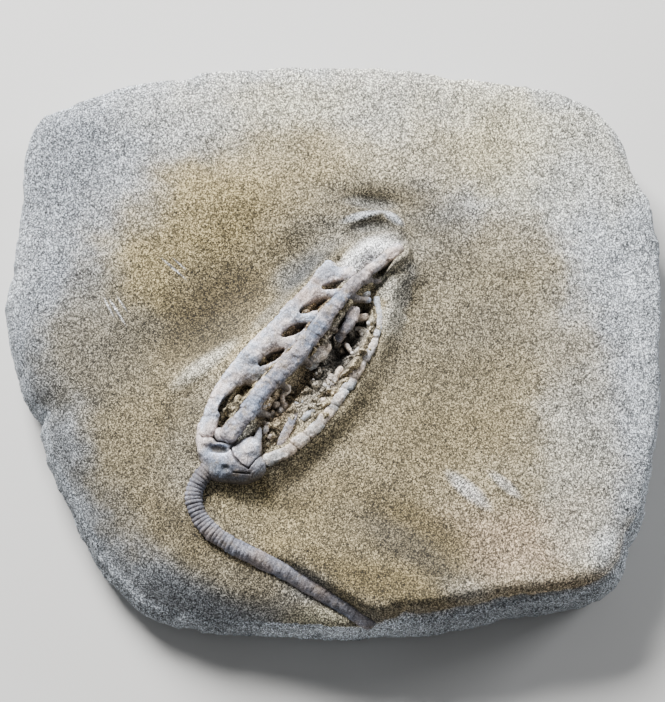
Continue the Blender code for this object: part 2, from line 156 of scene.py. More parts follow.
# Webs between the left and the middle arm, and side branches of the middle arm, as rods: two ends
# and the radius at each. Windows through the webs: place, half sizes along, across, up, and turn.
WEBS = [
    (-14.6, -6.9, 17.2, -12.2, -5.6, 17.5, 1.25, 1.1),
    (-12.4, -6.6, 16.4, -7.6, -1.7, 16.4, 1.45, 1.45),
    (-7.6, -1.7, 16.4, -3.5, 3.2, 16.3, 1.45, 1.45), (-3.5, 3.2, 16.3, 0.2, 8.2, 16.2, 1.45, 1.4),
    (0.2, 8.2, 16.2, 3.6, 11.4, 16.4, 1.4, 1.4), (-9.9, -0.9, 17.2, -6.4, -1.4, 17.4, 1.15, 1.05),
    (-6.6, 2.9, 17.2, -3, 2.9, 17.5, 1.1, 1), (-3.4, 6.7, 17.1, 0.4, 7.1, 17.4, 1.05, 0.95),
    (-1.3, 9.9, 16.8, 3, 10.2, 17.3, 1.05, 0.95),
]
WINDOWS = [
    (-15.2, -10.3, 18, 3.4, 1.2, 3.2, 42), (-9.5, -3.6, 18, 2.4, 0.78, 3.2, 33),
    (-6, 0.8, 18, 2.3, 0.8, 3.2, 29), (-3, 4.6, 18, 2.5, 0.88, 3.2, 27),
    (0.3, 8.1, 18, 2, 0.8, 3.2, 16),
]
MIDDLE_STUBS = [
    (-12.6, -12.2, 18.6, -9.9, -12.9, 17.4, 0.8, 0.5),
    (-9.2, -7.6, 18.6, -7.2, -8.6, 17.4, 0.85, 0.55),
    (-5.4, -3.6, 18.5, -3.6, -4.7, 17.2, 0.8, 0.55), (-1.6, 1.6, 18.3, 0.4, 0.9, 17.2, 0.75, 0.5),
    (1.6, 6, 18.1, 5.6, 5.9, 16.9, 0.65, 0.45), (4.2, 8.8, 18, 7.2, 8.9, 17, 0.7, 0.45),
    (9.2, 13, 18.3, 10.2, 13.9, 18.2, 0.8, 0.8),
]
RIGHT_SEAMS = [4.3, 6.9, 9.9, 13.3, 16.5, 18.6, 21.8, 26.0]
INNER_UPPER_ROUTE = [(3.2, 4.0, 16.6), (2.4, 1.9, 16.5), (1.0, 0.0, 15.9)]
INNER_LOWER_ROUTE = [(-7.9, -17.0, 15.9), (-6.6, -14.0, 16.2), (-5.3, -11.0, 16.1)]

# Cup: place, half sizes along, across and up, and turn in degrees, of the body, of its plates and
# of the hollows between them, and the lines of its seams.
CUP_BODY = (-15.5, -19.8, 15.8, 3.5, 5.4, 3.3, 75)
CUP_PLATES = [
    (-19.2, -17.1, 16.7, 1.6, 1.1, 1.5, -10), (-16.7, -16.3, 17.4, 1.9, 1.2, 1.4, -32),
    (-17.3, -19.4, 17.1, 2.6, 1, 1.5, 0), (-13.1, -18.4, 16.9, 2.5, 1.8, 2.2, 48),
    (-11.6, -16.6, 17.2, 1.9, 0.6, 0.9, 80), (-11.4, -20.6, 16.6, 1.2, 1, 1.3, 40),
    (-17, -21.3, 16.3, 2.9, 2, 2.1, -5), (-13.6, -21.6, 16.2, 2, 1.5, 1.8, 15),
]
CUP_RIM = [(-20.3, -14.6, 16.9), (-20.4, -16.7, 17.0), (-20.1, -18.5, 17.0), (-19.0, -19.8, 17.1)]
CUP_HOLLOWS = [
    (-17.8, -18.3, 18.9, 1.9, 0.85, 1.6, -10), (-14.9, -17, 18.9, 2, 0.5, 1.4, 52),
    (-19.3, -15.2, 18.6, 0.55, 0.45, 1.2, 40), (-16.6, -21.6, 18.7, 0.7, 0.5, 0.5, 20),
]
CUP_SEAMS = [
    [(-15.7, -18.4), (-15.2, -19.8), (-14.2, -20.9), (-13.0, -21.5)],
    [(-12.9, -21.4), (-12.0, -20.2), (-11.1, -19.2), (-9.9, -18.1)],
    [(-15.3, -22.1), (-12.9, -22.2)],
    [(-18.7, -16.1), (-18.0, -17.1), (-16.4, -17.4), (-15.3, -16.6)],
    [(-20.2, -16.3), (-18.7, -16.1)],
]

CUP_BOX = (-23, -26, 11.5), (-8, -12.5, 21)
CUP_LEVEL = 17.0
CUP_REACH = 3.0
CUP_BLEND = 0.3
CUP_RIM_RADIUS = 0.75
CUP_HOLLOW_BLEND = 0.35
CUP_SEAM_WIDTH = 0.13
CUP_SEAM_DEPTH = 0.30
CUP_SEAM_BLEND = 0.1
CUP_ROUGH = 0.55
# Below this level the cup counts as more sunken, so it gets painted shade and dust towards its bottom.
CUP_SHADE_BELOW = 19.2

# Broken plates between the middle and the right arm: place, half sizes along, across and up, and
# turn. Grains lie among them in oval patches: place, half length, half width, turn and number.
RUBBLE = [
    (-2.2, -2.9, 16.7, 1.9, 1.15, 1, 38), (-3.3, -4.6, 16.2, 1.1, 0.65, 0.7, 15),
    (-4.6, -3.6, 16.6, 0.7, 0.5, 0.6, 40), (-0.8, -1.9, 16.7, 0.8, 0.6, 0.7, 60),
    (-7.3, -8.7, 16.6, 1.1, 0.6, 0.7, 62), (-7.9, -9.9, 16.4, 0.8, 0.5, 0.6, 100),
    (-9.2, -9.9, 16.5, 0.6, 0.5, 0.6, 0), (-8.8, -11, 16.6, 0.6, 0.45, 0.6, 40),
    (-9.9, -11, 16.5, 0.52, 0.45, 0.6, 0), (-8.2, -11.9, 16.4, 0.55, 0.5, 0.5, 0),
    (-9.4, -12.3, 16.5, 0.6, 0.42, 0.5, 30), (-10.3, -14.9, 16.7, 0.95, 0.42, 0.6, 66),
    (-9.7, -16, 16.4, 0.55, 0.42, 0.5, 20), (-11, -12.2, 16.5, 0.6, 0.5, 0.5, 0),
    (-0.6, -7.7, 15.9, 1.5, 0.45, 0.6, 76), (0.6, -6.4, 15.8, 1.7, 0.5, 0.6, 66),
    (-5.9, -12, 16.3, 1.6, 0.45, 0.5, 62), (-3.9, -12.6, 16.4, 1.1, 0.5, 0.5, 48),
    (4.7, 3.4, 15.6, 1, 0.75, 0.7, 20), (5.1, 0.8, 15.1, 0.75, 0.55, 0.6, 0),
    (4, 1.7, 15.2, 0.6, 0.45, 0.5, 0), (5.9, 0.2, 15.5, 0.6, 0.5, 0.6, 0),
    (0.1, 2.7, 16.6, 1, 0.42, 0.5, 34), (-1.1, 0.1, 16.6, 1, 0.42, 0.5, 24),
    (0.6, 3.6, 16.7, 0.6, 0.5, 0.5, 0), (5.2, 7, 16.2, 0.9, 0.6, 0.6, 20),
    (2.6, -1.6, 15.2, 1.3, 0.4, 0.6, 118), (4.2, -2.2, 15.6, 0.9, 0.6, 0.6, 60),
]
RUBBLE_PATCHES = [
    (-9.3, -12, 3.2, 1.5, 55, 16), (-5, -11.5, 6, 2, 50, 10), (-2, -6, 4, 1.8, 50, 10),
    (3.4, 0.5, 4.2, 2.2, 60, 14),
]
RUBBLE_BOX = (-18, -20, 12.0), (9, 9, 22.0)
RUBBLE_SIZES = (0.25, 0.60)
RUBBLE_LENGTHS = (1.0, 1.4)
RUBBLE_SEED = 11
RUBBLE_SINK = 0.15
RUBBLE_ROUGH = 1.3
LUMP_BLEND = 0.25
GRAIN_BLEND = 0.15

# Finer relief under and around the crown, relief of the clotted stone that fills it, and the ovals
# inside which the stone is rough and the crown is filled.
CROWN_RELIEF = [
    (-14.6, -9.8, 3, 1.1, 42, -0.8), (-5.5, -7.7, 6, 1.2, 48, -1.2), (-3.2, -10.2, 5, 1.5, 50, 0.6),
    (5, 13, 4.6, 1.6, 38, 1.9), (7.6, 10.6, 1.6, 0.9, 60, -1.6), (11.5, 9.5, 3, 2.4, 60, 0.9),
    (9.6, 3, 5, 1.5, 80, 1), (3, -14.5, 14, 4, 50, 1), (-6.2, 9.4, 4.5, 1.6, 48, -1.1),
    (-18.5, 3.5, 9, 4, 40, -0.9), (-3, -19.5, 9, 1.8, 42, -0.6), (6.8, 19.9, 3.4, 0.9, -5, -0.9),
    (3.6, 19.2, 2.2, 0.55, 22, 0.7), (6.8, 20.3, 2.4, 0.6, 8, 1.05), (9.5, 19.4, 1.6, 0.6, -40, 1),
    (10.6, 17.6, 1.3, 0.5, -75, 0.8), (-2, -40.6, 7, 1.25, -31, -1.3),
    (3.4, -43.2, 4.2, 1.3, -31, -1.4), (11.2, 10.2, 4.6, 3, 60, 2.2),
    (8.2, 11.2, 1.5, 0.8, 40, -1.2), (8.9, 5.5, 5, 1.4, 84, 0.7),
]
FILL_RELIEF = [
    (-9.5, -3.6, 2.4, 1, 33, 0.5), (-6, 0.8, 2.4, 1, 29, 0.5), (-3, 4.6, 2.6, 1, 27, 0.5),
    (0.3, 8.1, 2.1, 1, 16, 0.5), (-13.5, -15.7, 2.8, 1.3, 52, 1.7), (3.6, -3, 4, 1.7, 62, 1.6),
    (-15.4, -11, 3.4, 1.1, 46, 3), (-9.2, -12.2, 3.6, 1.5, 55, 0.5), (-5, -5.6, 3, 1.1, 45, -1.6),
    (1.6, -2.4, 1.6, 0.9, 70, -1), (3, 1, 5, 2.6, 62, 1.9), (-2.6, -4.2, 2.2, 1.3, 40, 0.8),
    (4.6, 5, 2, 0.9, 50, -1.2), (-1, -8.6, 4, 1.6, 52, 0.5), (4.2, 1.2, 2.2, 1.4, 70, 0.6),
]
INTERIOR = (-1.8, -6.3, 14.5, 4.6, 50)
INTERIOR_EDGE = 1.15
INTERIOR_FADE = 1.6
FILL = (-4.6, -4.8, 18.5, 14.0, 49)

# Clotted stone: clods as height and size, how their outlines bend, how rough they are, how far it
# lies below the ground and dips at its edges, its thickness, and its painted highlight on edges and
# painted shade in creases and low places.
FILL_BOX = (-21.0, -22.0, 10.0), (10.0, 11.5, 22.0)
CLODS = [(1.30, 1.8), (0.55, 0.75)]
CLOD_BENDS = [(0.5, 1.5, 2, 0), (0.5, 1.5, 2, 6)]
CLOD_ROUGH = [(0.50, 2.6, 3, 0)]
CLOD_STEEPNESS = 2.4
CLOD_LOWEST = 0.35
FILL_DROP = 0.25
FILL_DIP = 2.2
FILL_THICK = 3.4
FILL_SEEN = 0.02
FILL_UNSEEN_LEVEL = 9.0
FILL_SWELL = 2.4
FILL_SHADES = (0.2, 1.5)
FILL_DARK_FROM = 17.2
FILL_DARK_DEPTH = 3.0
FILL_PALE = 0.95
FILL_DARK = 0.7

# Mesh of the stone: rows and columns of the top, closer together under the crown, then rows
# down the side and rings across the underside.
GRID = 251
CROWN_SHARE = (-0.12, -0.06)
CROWN_REACH = 0.44
CROWN_GAIN = 1.0
SIDE_ROWS = 22
UNDERSIDE_RINGS = 9

# Wear of the rim: notches by azimuth, half width in degrees and depth, and the sectors of the edge, in
# degrees, that get a painted highlight along the rim, are stained with rust, or get painted light down
# the side.
NOTCHES = [
    (194.5, 1.1, 0.9), (20.5, 1.6, 0.5), (118, 1.8, 0.4), (66, 2.2, 0.4), (243, 1.5, 0.6),
]
SECTOR_FADE = 8
# A painted highlight along the rim: its sector, how bright it is and how far in it reaches.
RIM_HIGHLIGHT_SECTOR = (296, 575)
RIM_HIGHLIGHT = 0.30
RIM_HIGHLIGHT_WIDTH = 0.8
RUST_SECTOR = (276, 322)
RUST = 0.40
RUST_INSET = 0.2
RUST_WIDTH = 0.7
RUST_FADE = 6.0
# Painted light on the side faces in this sector, and how much.
FRONT_SECTOR = (260, 282)
FRONT_SIDE_PAINTED_LIGHT = 0.7
SIDE_SHADE = 1.15
# Painted shade in the pits of the side faces.
PIT_SHADE = 0.9
BEDDING = 2.0
UNDERSIDE_MIDDLE = 0.2

# Hollows get painted shade: darker by this share at this depth below the top, which bows down to its
# edges.
HOLLOW_SHADE = 0.30
HOLLOW_DEPTH = 3.0
BOW = (0, 0, 60, 60, 0, -0.6)
BOW_STEP = 0.3

# Camera: what it looks at, how far it is and how high it stands, for a picture 36 mm high.
CAMERA_TARGET = (0.0, 0.0, 8.0)
CAMERA_DISTANCE = 450.0
CAMERA_ELEVATION = math.radians(75)
CAMERA_LENS = 144.4

# Area lights: direction, distance, size, power and colour. Then the sky's colour and strength, and
# the floor's half size and how far below the stone it lies, both in metres, and its colour.
LIGHTS = {
    "key": ((-0.42, 0.78, 0.70), 700, 300, 18.5, (1.0, 0.985, 0.965)),
    "rim": ((0.9, 0.45, 0.35), 700, 260, 3.0, (0.97, 0.98, 1.0)),
}
SKY_COLOUR = (0.97, 0.98, 1.0, 1.0)
SKY_STRENGTH = 0.20
FLOOR_HALF = 1.2
FLOOR_DROP = 0.0001
FLOOR_COLOUR = (0.62, 0.62, 0.61, 1.0)
FLOOR_ROUGHNESS = 0.9


# ---------------------------------------------------------------- the stone's form


def polar_outline():
    """Azimuths and radii of the outline's points, in order of azimuth."""
    points = np.array(OUTLINE)
    azimuth = np.arctan2(points[:, 1], points[:, 0]) % (2 * math.pi)
    order = np.argsort(azimuth)
    return azimuth[order], np.hypot(points[:, 0], points[:, 1])[order]


OUTLINE_AZIMUTH, OUTLINE_RADIUS = polar_outline()


def outline_radius(azimuth):
    """Radius of the outline, with its corners eased over a few degrees."""
    shifts = np.linspace(-OUTLINE_EASE, OUTLINE_EASE, 5)
    radii = [
        np.interp(azimuth + shift, OUTLINE_AZIMUTH, OUTLINE_RADIUS, period=2 * math.pi)
        for shift in shifts
    ]
    return np.mean(radii, axis=0)


def edge_value(azimuth, column):
    """One column of EDGE at these azimuths."""
    table = np.array(EDGE, float)
    return np.interp(np.degrees(azimuth), table[:, 0], table[:, column], period=360)


def smooth_route(points, step):
    """The points joined by a Catmull-Rom curve, as stations about one step apart."""
    points = np.array(points, float)
    padded = np.vstack([2 * points[0] - points[1], points, 2 * points[-1] - points[-2]])
    t = np.linspace(0, 1, 16, endpoint=False)[:, None]
    spans = []
    for a, b, c, d in zip(padded, padded[1:], padded[2:], padded[3:]):
        spans.append(
            0.5 * (2 * b + (c - a) * t + (2 * a - 5 * b + 4 * c - d) * t**2
                   + (3 * b - a - 3 * c + d) * t**3)
        )
    dense = np.vstack([*spans, points[-1:]])
    length = np.concatenate([[0], np.cumsum(np.linalg.norm(np.diff(dense, axis=0), axis=1))])
    count = max(2, round(length[-1] / step) + 1)
    at = np.linspace(0, length[-1], count)
    return np.stack([np.interp(at, length, dense[:, k]) for k in range(3)], axis=1)


def nearest(route, x, y):
    """Distance in plan from each point to the route, the route's height there, and the side."""
    gap = np.full(np.shape(x), np.inf)
    height = np.zeros(np.shape(x))
    on_left = np.zeros(np.shape(x), bool)
    for a, b in zip(route, route[1:]):
        span = b[:2] - a[:2]
        t = np.clip(((x - a[0]) * span[0] + (y - a[1]) * span[1]) / (span @ span), 0, 1)
        here = np.hypot(x - a[0] - t * span[0], y - a[1] - t * span[1])
        closer = here < gap
        height = np.where(closer, a[2] + t * (b[2] - a[2]), height)
        on_left = np.where(closer, span[0] * (y - a[1]) > span[1] * (x - a[0]), on_left)
        gap = np.minimum(gap, here)
    return gap, height, on_left


# The stone is banked up against each arm: route, radius, depth of the bank below the axis, and
# how far it reaches on the left and on the right.
BANKS = [
    (smooth_route(LEFT_ROUTE, 3), 1.45, 0.5, 2.2, 0.4),
    (smooth_route(MIDDLE_ROUTE, 3), 1.55, 0.9, 0.5, 0.5),
    (smooth_route(RIGHT_ROUTE, 3), 0.95, 0.15, 0.7, 2.3),
]
FILL_LEFT = smooth_route(LEFT_ROUTE, 3)
FILL_RIGHT = smooth_route(RIGHT_ROUTE, 3)


def oval(x, y, centre_x, centre_y, half_length, half_width, turn):
    """Distance from the middle of an oval, which is 1 on its outline."""
    turn = math.radians(turn)
    along = (x - centre_x) * math.cos(turn) + (y - centre_y) * math.sin(turn)
    across = (y - centre_y) * math.cos(turn) - (x - centre_x) * math.sin(turn)
    return np.hypot(along / half_length, across / half_width)


def bump(x, y, feature):
    """A smooth round swell or hollow, worth its height in the middle."""
    *place, height = feature
    return height * np.exp(-oval(x, y, *place) ** 2)


def smoothstep(value):
    value = np.clip(value, 0, 1)
    return value * value * (3 - 2 * value)


def step_beside_stem(x, y):
    """The higher ground on the right of the stem's last stretch."""
    start = np.array(STEP_START)
    run = np.array(STEP_END) - start
    length = np.hypot(*run)
    along = ((x - start[0]) * run[0] + (y - start[1]) * run[1]) / length
    across = ((y - start[1]) * run[0] - (x - start[0]) * run[1]) / length
    away = np.exp(-(np.maximum(across, 0) / STEP_REACH) ** 2)
    return STEP_HEIGHT * smoothstep(across / STEP_WIDTH) * smoothstep(along / STEP_RISE + 0.4) * away


def ground(x, y):
    """Height of the stone's top, with no fossil on it."""
    level = TOP_LEVEL + sum(bump(x, y, feature) for feature in RELIEF)
    level = level + step_beside_stem(x, y)
    for route, radius, depth, reach_left, reach_right in BANKS:
        gap, height, on_left = nearest(route, x, y)
        reach = np.where(on_left, reach_left, reach_right)
        share = np.exp(-(np.maximum(gap - radius, 0) / reach) ** 2)
        level = level + np.maximum(height - depth - level, 0) * share
    azimuth = np.arctan2(y, x) % (2 * math.pi)
    edge_height = edge_value(azimuth, 1)
    inside = outline_radius(azimuth) - edge_value(azimuth, 2) - np.hypot(x, y)
    share = np.clip(inside / edge_value(azimuth, 3), 0, 1)
    return edge_height + (level - edge_height) * share * (2 - share)


# ---------------------------------------------------------------- noise and meshes


def fractal(points, size, octaves=3, shift=0.0):
    """Smooth noise, about -1 to 1, with features of this size in millimetres."""
    return np.array([noise.fractal(Vector(p), 1.0, 2.0, octaves) for p in points / size + shift])


def layered(points, layers, fold=False):
    """Layers of noise added up, each folded up above 0 where asked."""
    heights = [height * fractal(points, *layer) for height, *layer in layers]
    return sum(abs(layer) for layer in heights) if fold else sum(heights)


def mesh_object(name, vertices, faces, material, replaces=()):
    """A smooth-shaded piece that rides on the stone's body."""
    mesh = bpy.data.meshes.new(name)
    mesh.from_pydata((vertices * MM).tolist(), [], faces)
    mesh.shade_smooth()
    mesh.materials.append(material)
    obj = bpy.data.objects.new(name, mesh)
    bpy.context.scene.collection.objects.link(obj)
    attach(obj, BODY)
    for node_name in replaces:
        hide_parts(node_name)
    return obj


def add_values(obj, name, values):
    """Stores one number at each vertex, for the material to read."""
    attribute = obj.data.attributes.new(name, "FLOAT", "POINT")
    attribute.data.foreach_set("value", np.asarray(values, np.float32))


def crowded(centre):
    """GRID values from -1 to 1, closer together near the centre."""
    even = np.linspace(-1, 1, 2001)
    density = 1 + CROWN_GAIN * np.exp(-(((even - centre) / CROWN_REACH) ** 4))
    total = np.cumsum(density) - density[0]
    return np.interp(np.linspace(0, total[-1], GRID), total, even)


def quads(index):
    """Faces of a grid of vertex numbers, facing up where columns run along X and rows along Y."""
    corners = index[:-1, :-1], index[:-1, 1:], index[1:, 1:], index[1:, :-1]
    return np.stack([corner.ravel() for corner in corners], axis=1)


def rim_loop(index):
    """The grid's border, once round."""
    return np.concatenate([index[0, :-1], index[:-1, -1], index[-1, :0:-1], index[:0:-1, 0]])


def top_level(x, y):
    """Height of the stone's top with its fine relief: rolling, worn, grainy, and rough inside
    the crown."""
    flat = np.stack([x, y, np.zeros_like(x)], axis=1)
    rough = smoothstep(INTERIOR_FADE * (INTERIOR_EDGE - oval(x, y, *INTERIOR)))
    level = ground(x, y) + sum(bump(x, y, feature) for feature in CROWN_RELIEF)
    return level + layered(flat, TOP_ROUGH) + rough * layered(flat, CROWN_ROUGH)


def worn_back(azimuth, radius):
    """How far chips and notches set the rim back from the outline."""
    around = np.stack([radius * np.cos(azimuth), radius * np.sin(azimuth), 0 * azimuth], axis=1)
    back = layered(around, RIM_CHIPS, fold=True)
    for notch_azimuth, half_width, depth in NOTCHES:
        turn = (np.degrees(azimuth) - notch_azimuth + 180) % 360 - 180
        back = back + depth * np.exp(-((turn / half_width) ** 4))
    return back


def stone_top():
    """Vertices of the top in rows and columns drawn out to the rim, with the painted shade of its
    hollows, the painted highlight of its rim, and its rust.
    """
    columns, rows = np.meshgrid(crowded(CROWN_SHARE[0]), crowded(CROWN_SHARE[1]))
    share = np.maximum(abs(columns), abs(rows)).ravel()
    azimuth = (np.arctan2(rows, columns) % (2 * math.pi)).ravel()
    radius = outline_radius(azimuth)
    rim = radius - edge_value(azimuth, 2) - worn_back(azimuth, radius)
    x, y = rim * share * np.cos(azimuth), rim * share * np.sin(azimuth)
    level = top_level(x, y)
    inside = rim * (1 - share)
    # Painted shade in the hollows.
    hollow = np.clip((hollow_free(x, y) - level) / HOLLOW_DEPTH, 0, 1)
    # A painted highlight along the rim.
    worn = RIM_HIGHLIGHT * np.exp(-inside / RIM_HIGHLIGHT_WIDTH) * edge_share(azimuth, RIM_HIGHLIGHT_SECTOR)
    rust = RUST * np.exp(-((inside - RUST_INSET) / RUST_WIDTH) ** 2) * edge_share(azimuth, RUST_SECTOR)
    return azimuth, np.stack([x, y, level], axis=1), 1 - HOLLOW_SHADE * hollow + worn, rust


def edge_share(azimuth, sector):
    """1 inside a sector of the edge, given in degrees, and fading to 0 outside it."""
    start, end = sector
    away = (np.degrees(azimuth) - start) % 360
    beyond = np.minimum(np.maximum(away - (end - start), 0), 360 - away)
    return smoothstep(1 - beyond / SECTOR_FADE)


def hollow_free(x, y):
    """Height of the top without the hollows that the crown lies in."""
    return TOP_LEVEL + bump(x, y, BOW) + BOW_STEP * step_beside_stem(x, y)


def make_stone(material):
    """The top, the side faces in rows below its rim, and the underside in rings."""
    azimuth, top, shade, rust = stone_top()
    index = np.arange(GRID * GRID).reshape(GRID, GRID)
    loop = rim_loop(index)
    around = azimuth[loop]
    radius, height = outline_radius(around), top[loop, 2]
    inset = edge_value(around, 2)
    worn = worn_back(around, radius)
    profile = np.array(SIDE_PROFILE)
    drop = np.linspace(0, 1, len(profile))
    levels, shades, rusts = [top], [shade], [rust]
    # Painted light on the side faces of the front sector.
    pale = 1 + FRONT_SIDE_PAINTED_LIGHT * edge_share(around, FRONT_SECTOR)
    for row in range(1, SIDE_ROWS + 1):
        at = row / SIDE_ROWS
        reach = radius - inset * np.interp(at, drop, profile[:, 0]) - worn * (1 - 0.5 * at)
        z = height * np.interp(at, drop, profile[:, 1])
        rough = np.stack([radius * np.cos(around), radius * np.sin(around), z * BEDDING], axis=1)
        pits = layered(rough, SIDE_PITS, fold=True)
        reach = reach - pits * math.sin(math.pi * min(at, 0.5))
        levels.append(np.stack([reach * np.cos(around), reach * np.sin(around), z], axis=1))
        # The side's pits get painted shade, and its front sector painted light.
        shades.append((SIDE_SHADE - PIT_SHADE * pits) * pale)
        rusts.append(rust[loop] * max(0, 1 - RUST_FADE * at))
    base = levels[-1]
    for ring in range(1, UNDERSIDE_RINGS):
        near = base * (1 - ring / UNDERSIDE_RINGS)
        near[:, 2] = layered(near, UNDERSIDE_ROUGH, fold=True) * min(1, ring / 2)
        levels.append(near)
    levels.append(np.array([[0, 0, UNDERSIDE_MIDDLE]]))

    loops = [loop]
    first = len(top)
    for _ in range(SIDE_ROWS + UNDERSIDE_RINGS - 1):
        loops.append(np.arange(first, first + len(loop)))
        first += len(loop)
    faces = quads(index).tolist()
    for upper, lower in zip(loops, loops[1:]):
        turned = [np.roll(ring, -1) for ring in (upper, lower)]
        faces += np.stack([upper, lower, turned[1], turned[0]], axis=1).tolist()
    last = loops[-1]
    faces += np.stack([last, np.full_like(last, first), np.roll(last, -1)], axis=1).tolist()
    stone = mesh_object("matrix_stone", np.vstack(levels), faces, material, ["matrix"])
    under = first + 1 - len(top) - SIDE_ROWS * len(loop)
    add_values(stone, "side", np.concatenate([np.zeros(len(top)), np.ones(first + 1 - len(top))]))
    add_values(stone, "shade", np.concatenate([*shades, np.ones(under)]))
    add_values(stone, "rust", np.concatenate([*rusts, np.zeros(under)]))


# ---------------------------------------------------------------- solids on a grid of distances


def soft_min(first, second, blend):
    """The smaller of two distances, eased where they are nearly equal."""
    share = np.clip(0.5 + 0.5 * (second - first) / blend, 0, 1)
    return second + (first - second) * share - blend * share * (1 - share)


class Volume:
    """Distances to a surface at the points of a grid, below zero inside it."""

    def __init__(self, low, high):
        self.low = np.array(low, float)
        size = np.ceil((np.array(high) - self.low) / VOXEL).astype(int) + 1
        self.distance = np.full(size, FAR, np.float32)

    def near(self, points, reach):
        """The part of the grid within reach of these points, and its x, y and z."""
        points = np.atleast_2d(points)[:, :3]
        first = np.floor((points.min(axis=0) - reach - self.low) / VOXEL).astype(int)
        last = np.ceil((points.max(axis=0) + reach - self.low) / VOXEL).astype(int) + 1
        first, last = np.maximum(first, 0), np.minimum(last, self.distance.shape)
        part = tuple(slice(a, b) for a, b in zip(first, last))
        axes = [self.low[k] + VOXEL * np.arange(first[k], last[k]) for k in range(3)]
        return part, np.meshgrid(*axes, indexing="ij", sparse=True)

    def join(self, part, distance, blend):
        self.distance[part] = soft_min(self.distance[part], distance, blend)

    def cut(self, part, distance, blend):
        self.distance[part] = -soft_min(-self.distance[part], distance, blend)

    def join_lump(self, form, blend):
        part, place = self.near(form[:3], max(form[3:6]) + 1)
        self.join(part, lump(place, form), blend)

    def cut_lump(self, form, blend):
        part, place = self.near(form[:3], max(form[3:6]) + 1)
        self.cut(part, lump(place, form), blend)

    def join_rod(self, form, blend):
        part, place = self.near([form[:3], form[3:6]], max(form[6:]) + 1)
        self.join(part, rod(place, form), blend)

    def cut_seam(self, points, half_width, depth, blend):
        """A groove of this depth in the cup's surface, over a line of points given in plan."""
        part, place = self.near([(*point, CUP_LEVEL) for point in points], CUP_REACH)
        gap = plan_gap(place, [points])
        self.cut(part, np.maximum(gap - half_width, -self.distance[part] - depth), blend)

    def surface(self):
        """Vertices and four-cornered faces of the zero surface, one vertex to each mixed cell."""
        value = self.distance
        inside = value < 0
        corners = [(i, j, k) for i in (0, 1) for j in (0, 1) for k in (0, 1)]
        size = np.array(value.shape) - 1
        filled = sum(
            inside[i:i + size[0], j:j + size[1], k:k + size[2]].astype(np.int8) for i, j, k in corners
        )
        cells = np.argwhere((filled > 0) & (filled < 8))
        number = np.full(size, -1)
        number[tuple(cells.T)] = np.arange(len(cells))
        total, hits = np.zeros((len(cells), 3)), np.zeros(len(cells))
        faces = []
        for axis in range(3):
            step = np.eye(3, dtype=int)[axis]
            for corner in corners:
                if corner[axis]:
                    continue
                start = cells + corner
                a, b = value[tuple(start.T)], value[tuple((start + step).T)]
                crossed = (a < 0) != (b < 0)
                where = start + step * np.where(crossed, a / np.where(crossed, a - b, 1), 0)[:, None]
                total[crossed] += where[crossed]
                hits += crossed
            before = np.take(inside, range(size[axis]), axis=axis)
            after = np.take(inside, range(1, size[axis] + 1), axis=axis)
            second, third = np.roll(step, 1), np.roll(step, 2)
            for crossed, turned in ((before & ~after, False), (after & ~before, True)):
                edge = np.argwhere(crossed)
                around = [edge - second - third, edge - third, edge, edge - second]
                ring = np.stack([number[tuple(cell.T)] for cell in around], axis=1)
                faces.append(ring[:, ::-1] if turned else ring)
        return self.low + VOXEL * total / hits[:, None], np.vstack(faces)


def lump(place, form):
    """Distance to an ellipsoid: place, half sizes along, across and up, and turn in degrees."""
    centre_x, centre_y, centre_z, along, across, up, turn = form
    turn = math.radians(turn)
    x, y, z = place[0] - centre_x, place[1] - centre_y, place[2] - centre_z
    u = x * math.cos(turn) + y * math.sin(turn)
    v = y * math.cos(turn) - x * math.sin(turn)
    near = np.sqrt((u / along) ** 2 + (v / across) ** 2 + (z / up) ** 2)
    steep = np.sqrt((u / along**2) ** 2 + (v / across**2) ** 2 + (z / up**2) ** 2)
    return near * (near - 1) / np.maximum(steep, 1e-6)


def rod(place, form):
    """Distance to a round rod: its two ends and the radius at each."""
    start, end = np.array(form[0:3]), np.array(form[3:6])
    span = end - start
    offset = [place[k] - start[k] for k in range(3)]
    t = np.clip(sum(o * s for o, s in zip(offset, span)) / (span @ span), 0, 1)
    gap = np.sqrt(sum((o - t * s) ** 2 for o, s in zip(offset, span)))
    return gap - form[6] - t * (form[7] - form[6])


def plan_gap(place, lines):
    """Distance in plan from each place to the nearest of these lines of points."""
    gaps = []
    for line in lines:
        for (start_x, start_y), (end_x, end_y) in zip(line, line[1:]):
            span_x, span_y = end_x - start_x, end_y - start_y
            x, y = place[0] - start_x, place[1] - start_y
            t = np.clip((x * span_x + y * span_y) / (span_x**2 + span_y**2), 0, 1)
            gaps.append(np.hypot(x - t * span_x, y - t * span_y))
    return np.min(np.broadcast_arrays(*gaps), axis=0)


def frame_of(start, end):
    """Length, direction, level sideways direction and upward direction of a stretch of a route."""
    span = end - start
    size = np.linalg.norm(span)
    forward = span / size
    side = np.array([-forward[1], forward[0], 0]) / np.hypot(forward[0], forward[1])
    upward = np.cross(forward, side)
    return size, forward, side, upward * np.sign(upward[2])


def along_stretch(place, start, end):
    """Distance to a stretch of a route, and the place's length along it and offsets from it."""
    size, forward, side, upward = frame_of(start, end)
    offset = [place[k] - start[k] for k in range(3)]
    reach = sum(o * f for o, f in zip(offset, forward))
    t = np.clip(reach, 0, size)
    gap = sum((o - t * f) ** 2 for o, f in zip(offset, forward))
    aside = offset[0] * side[0] + offset[1] * side[1]
    above = sum(o * u for o, u in zip(offset, upward))
    return np.broadcast_arrays(gap, t, aside, above, reach - t)


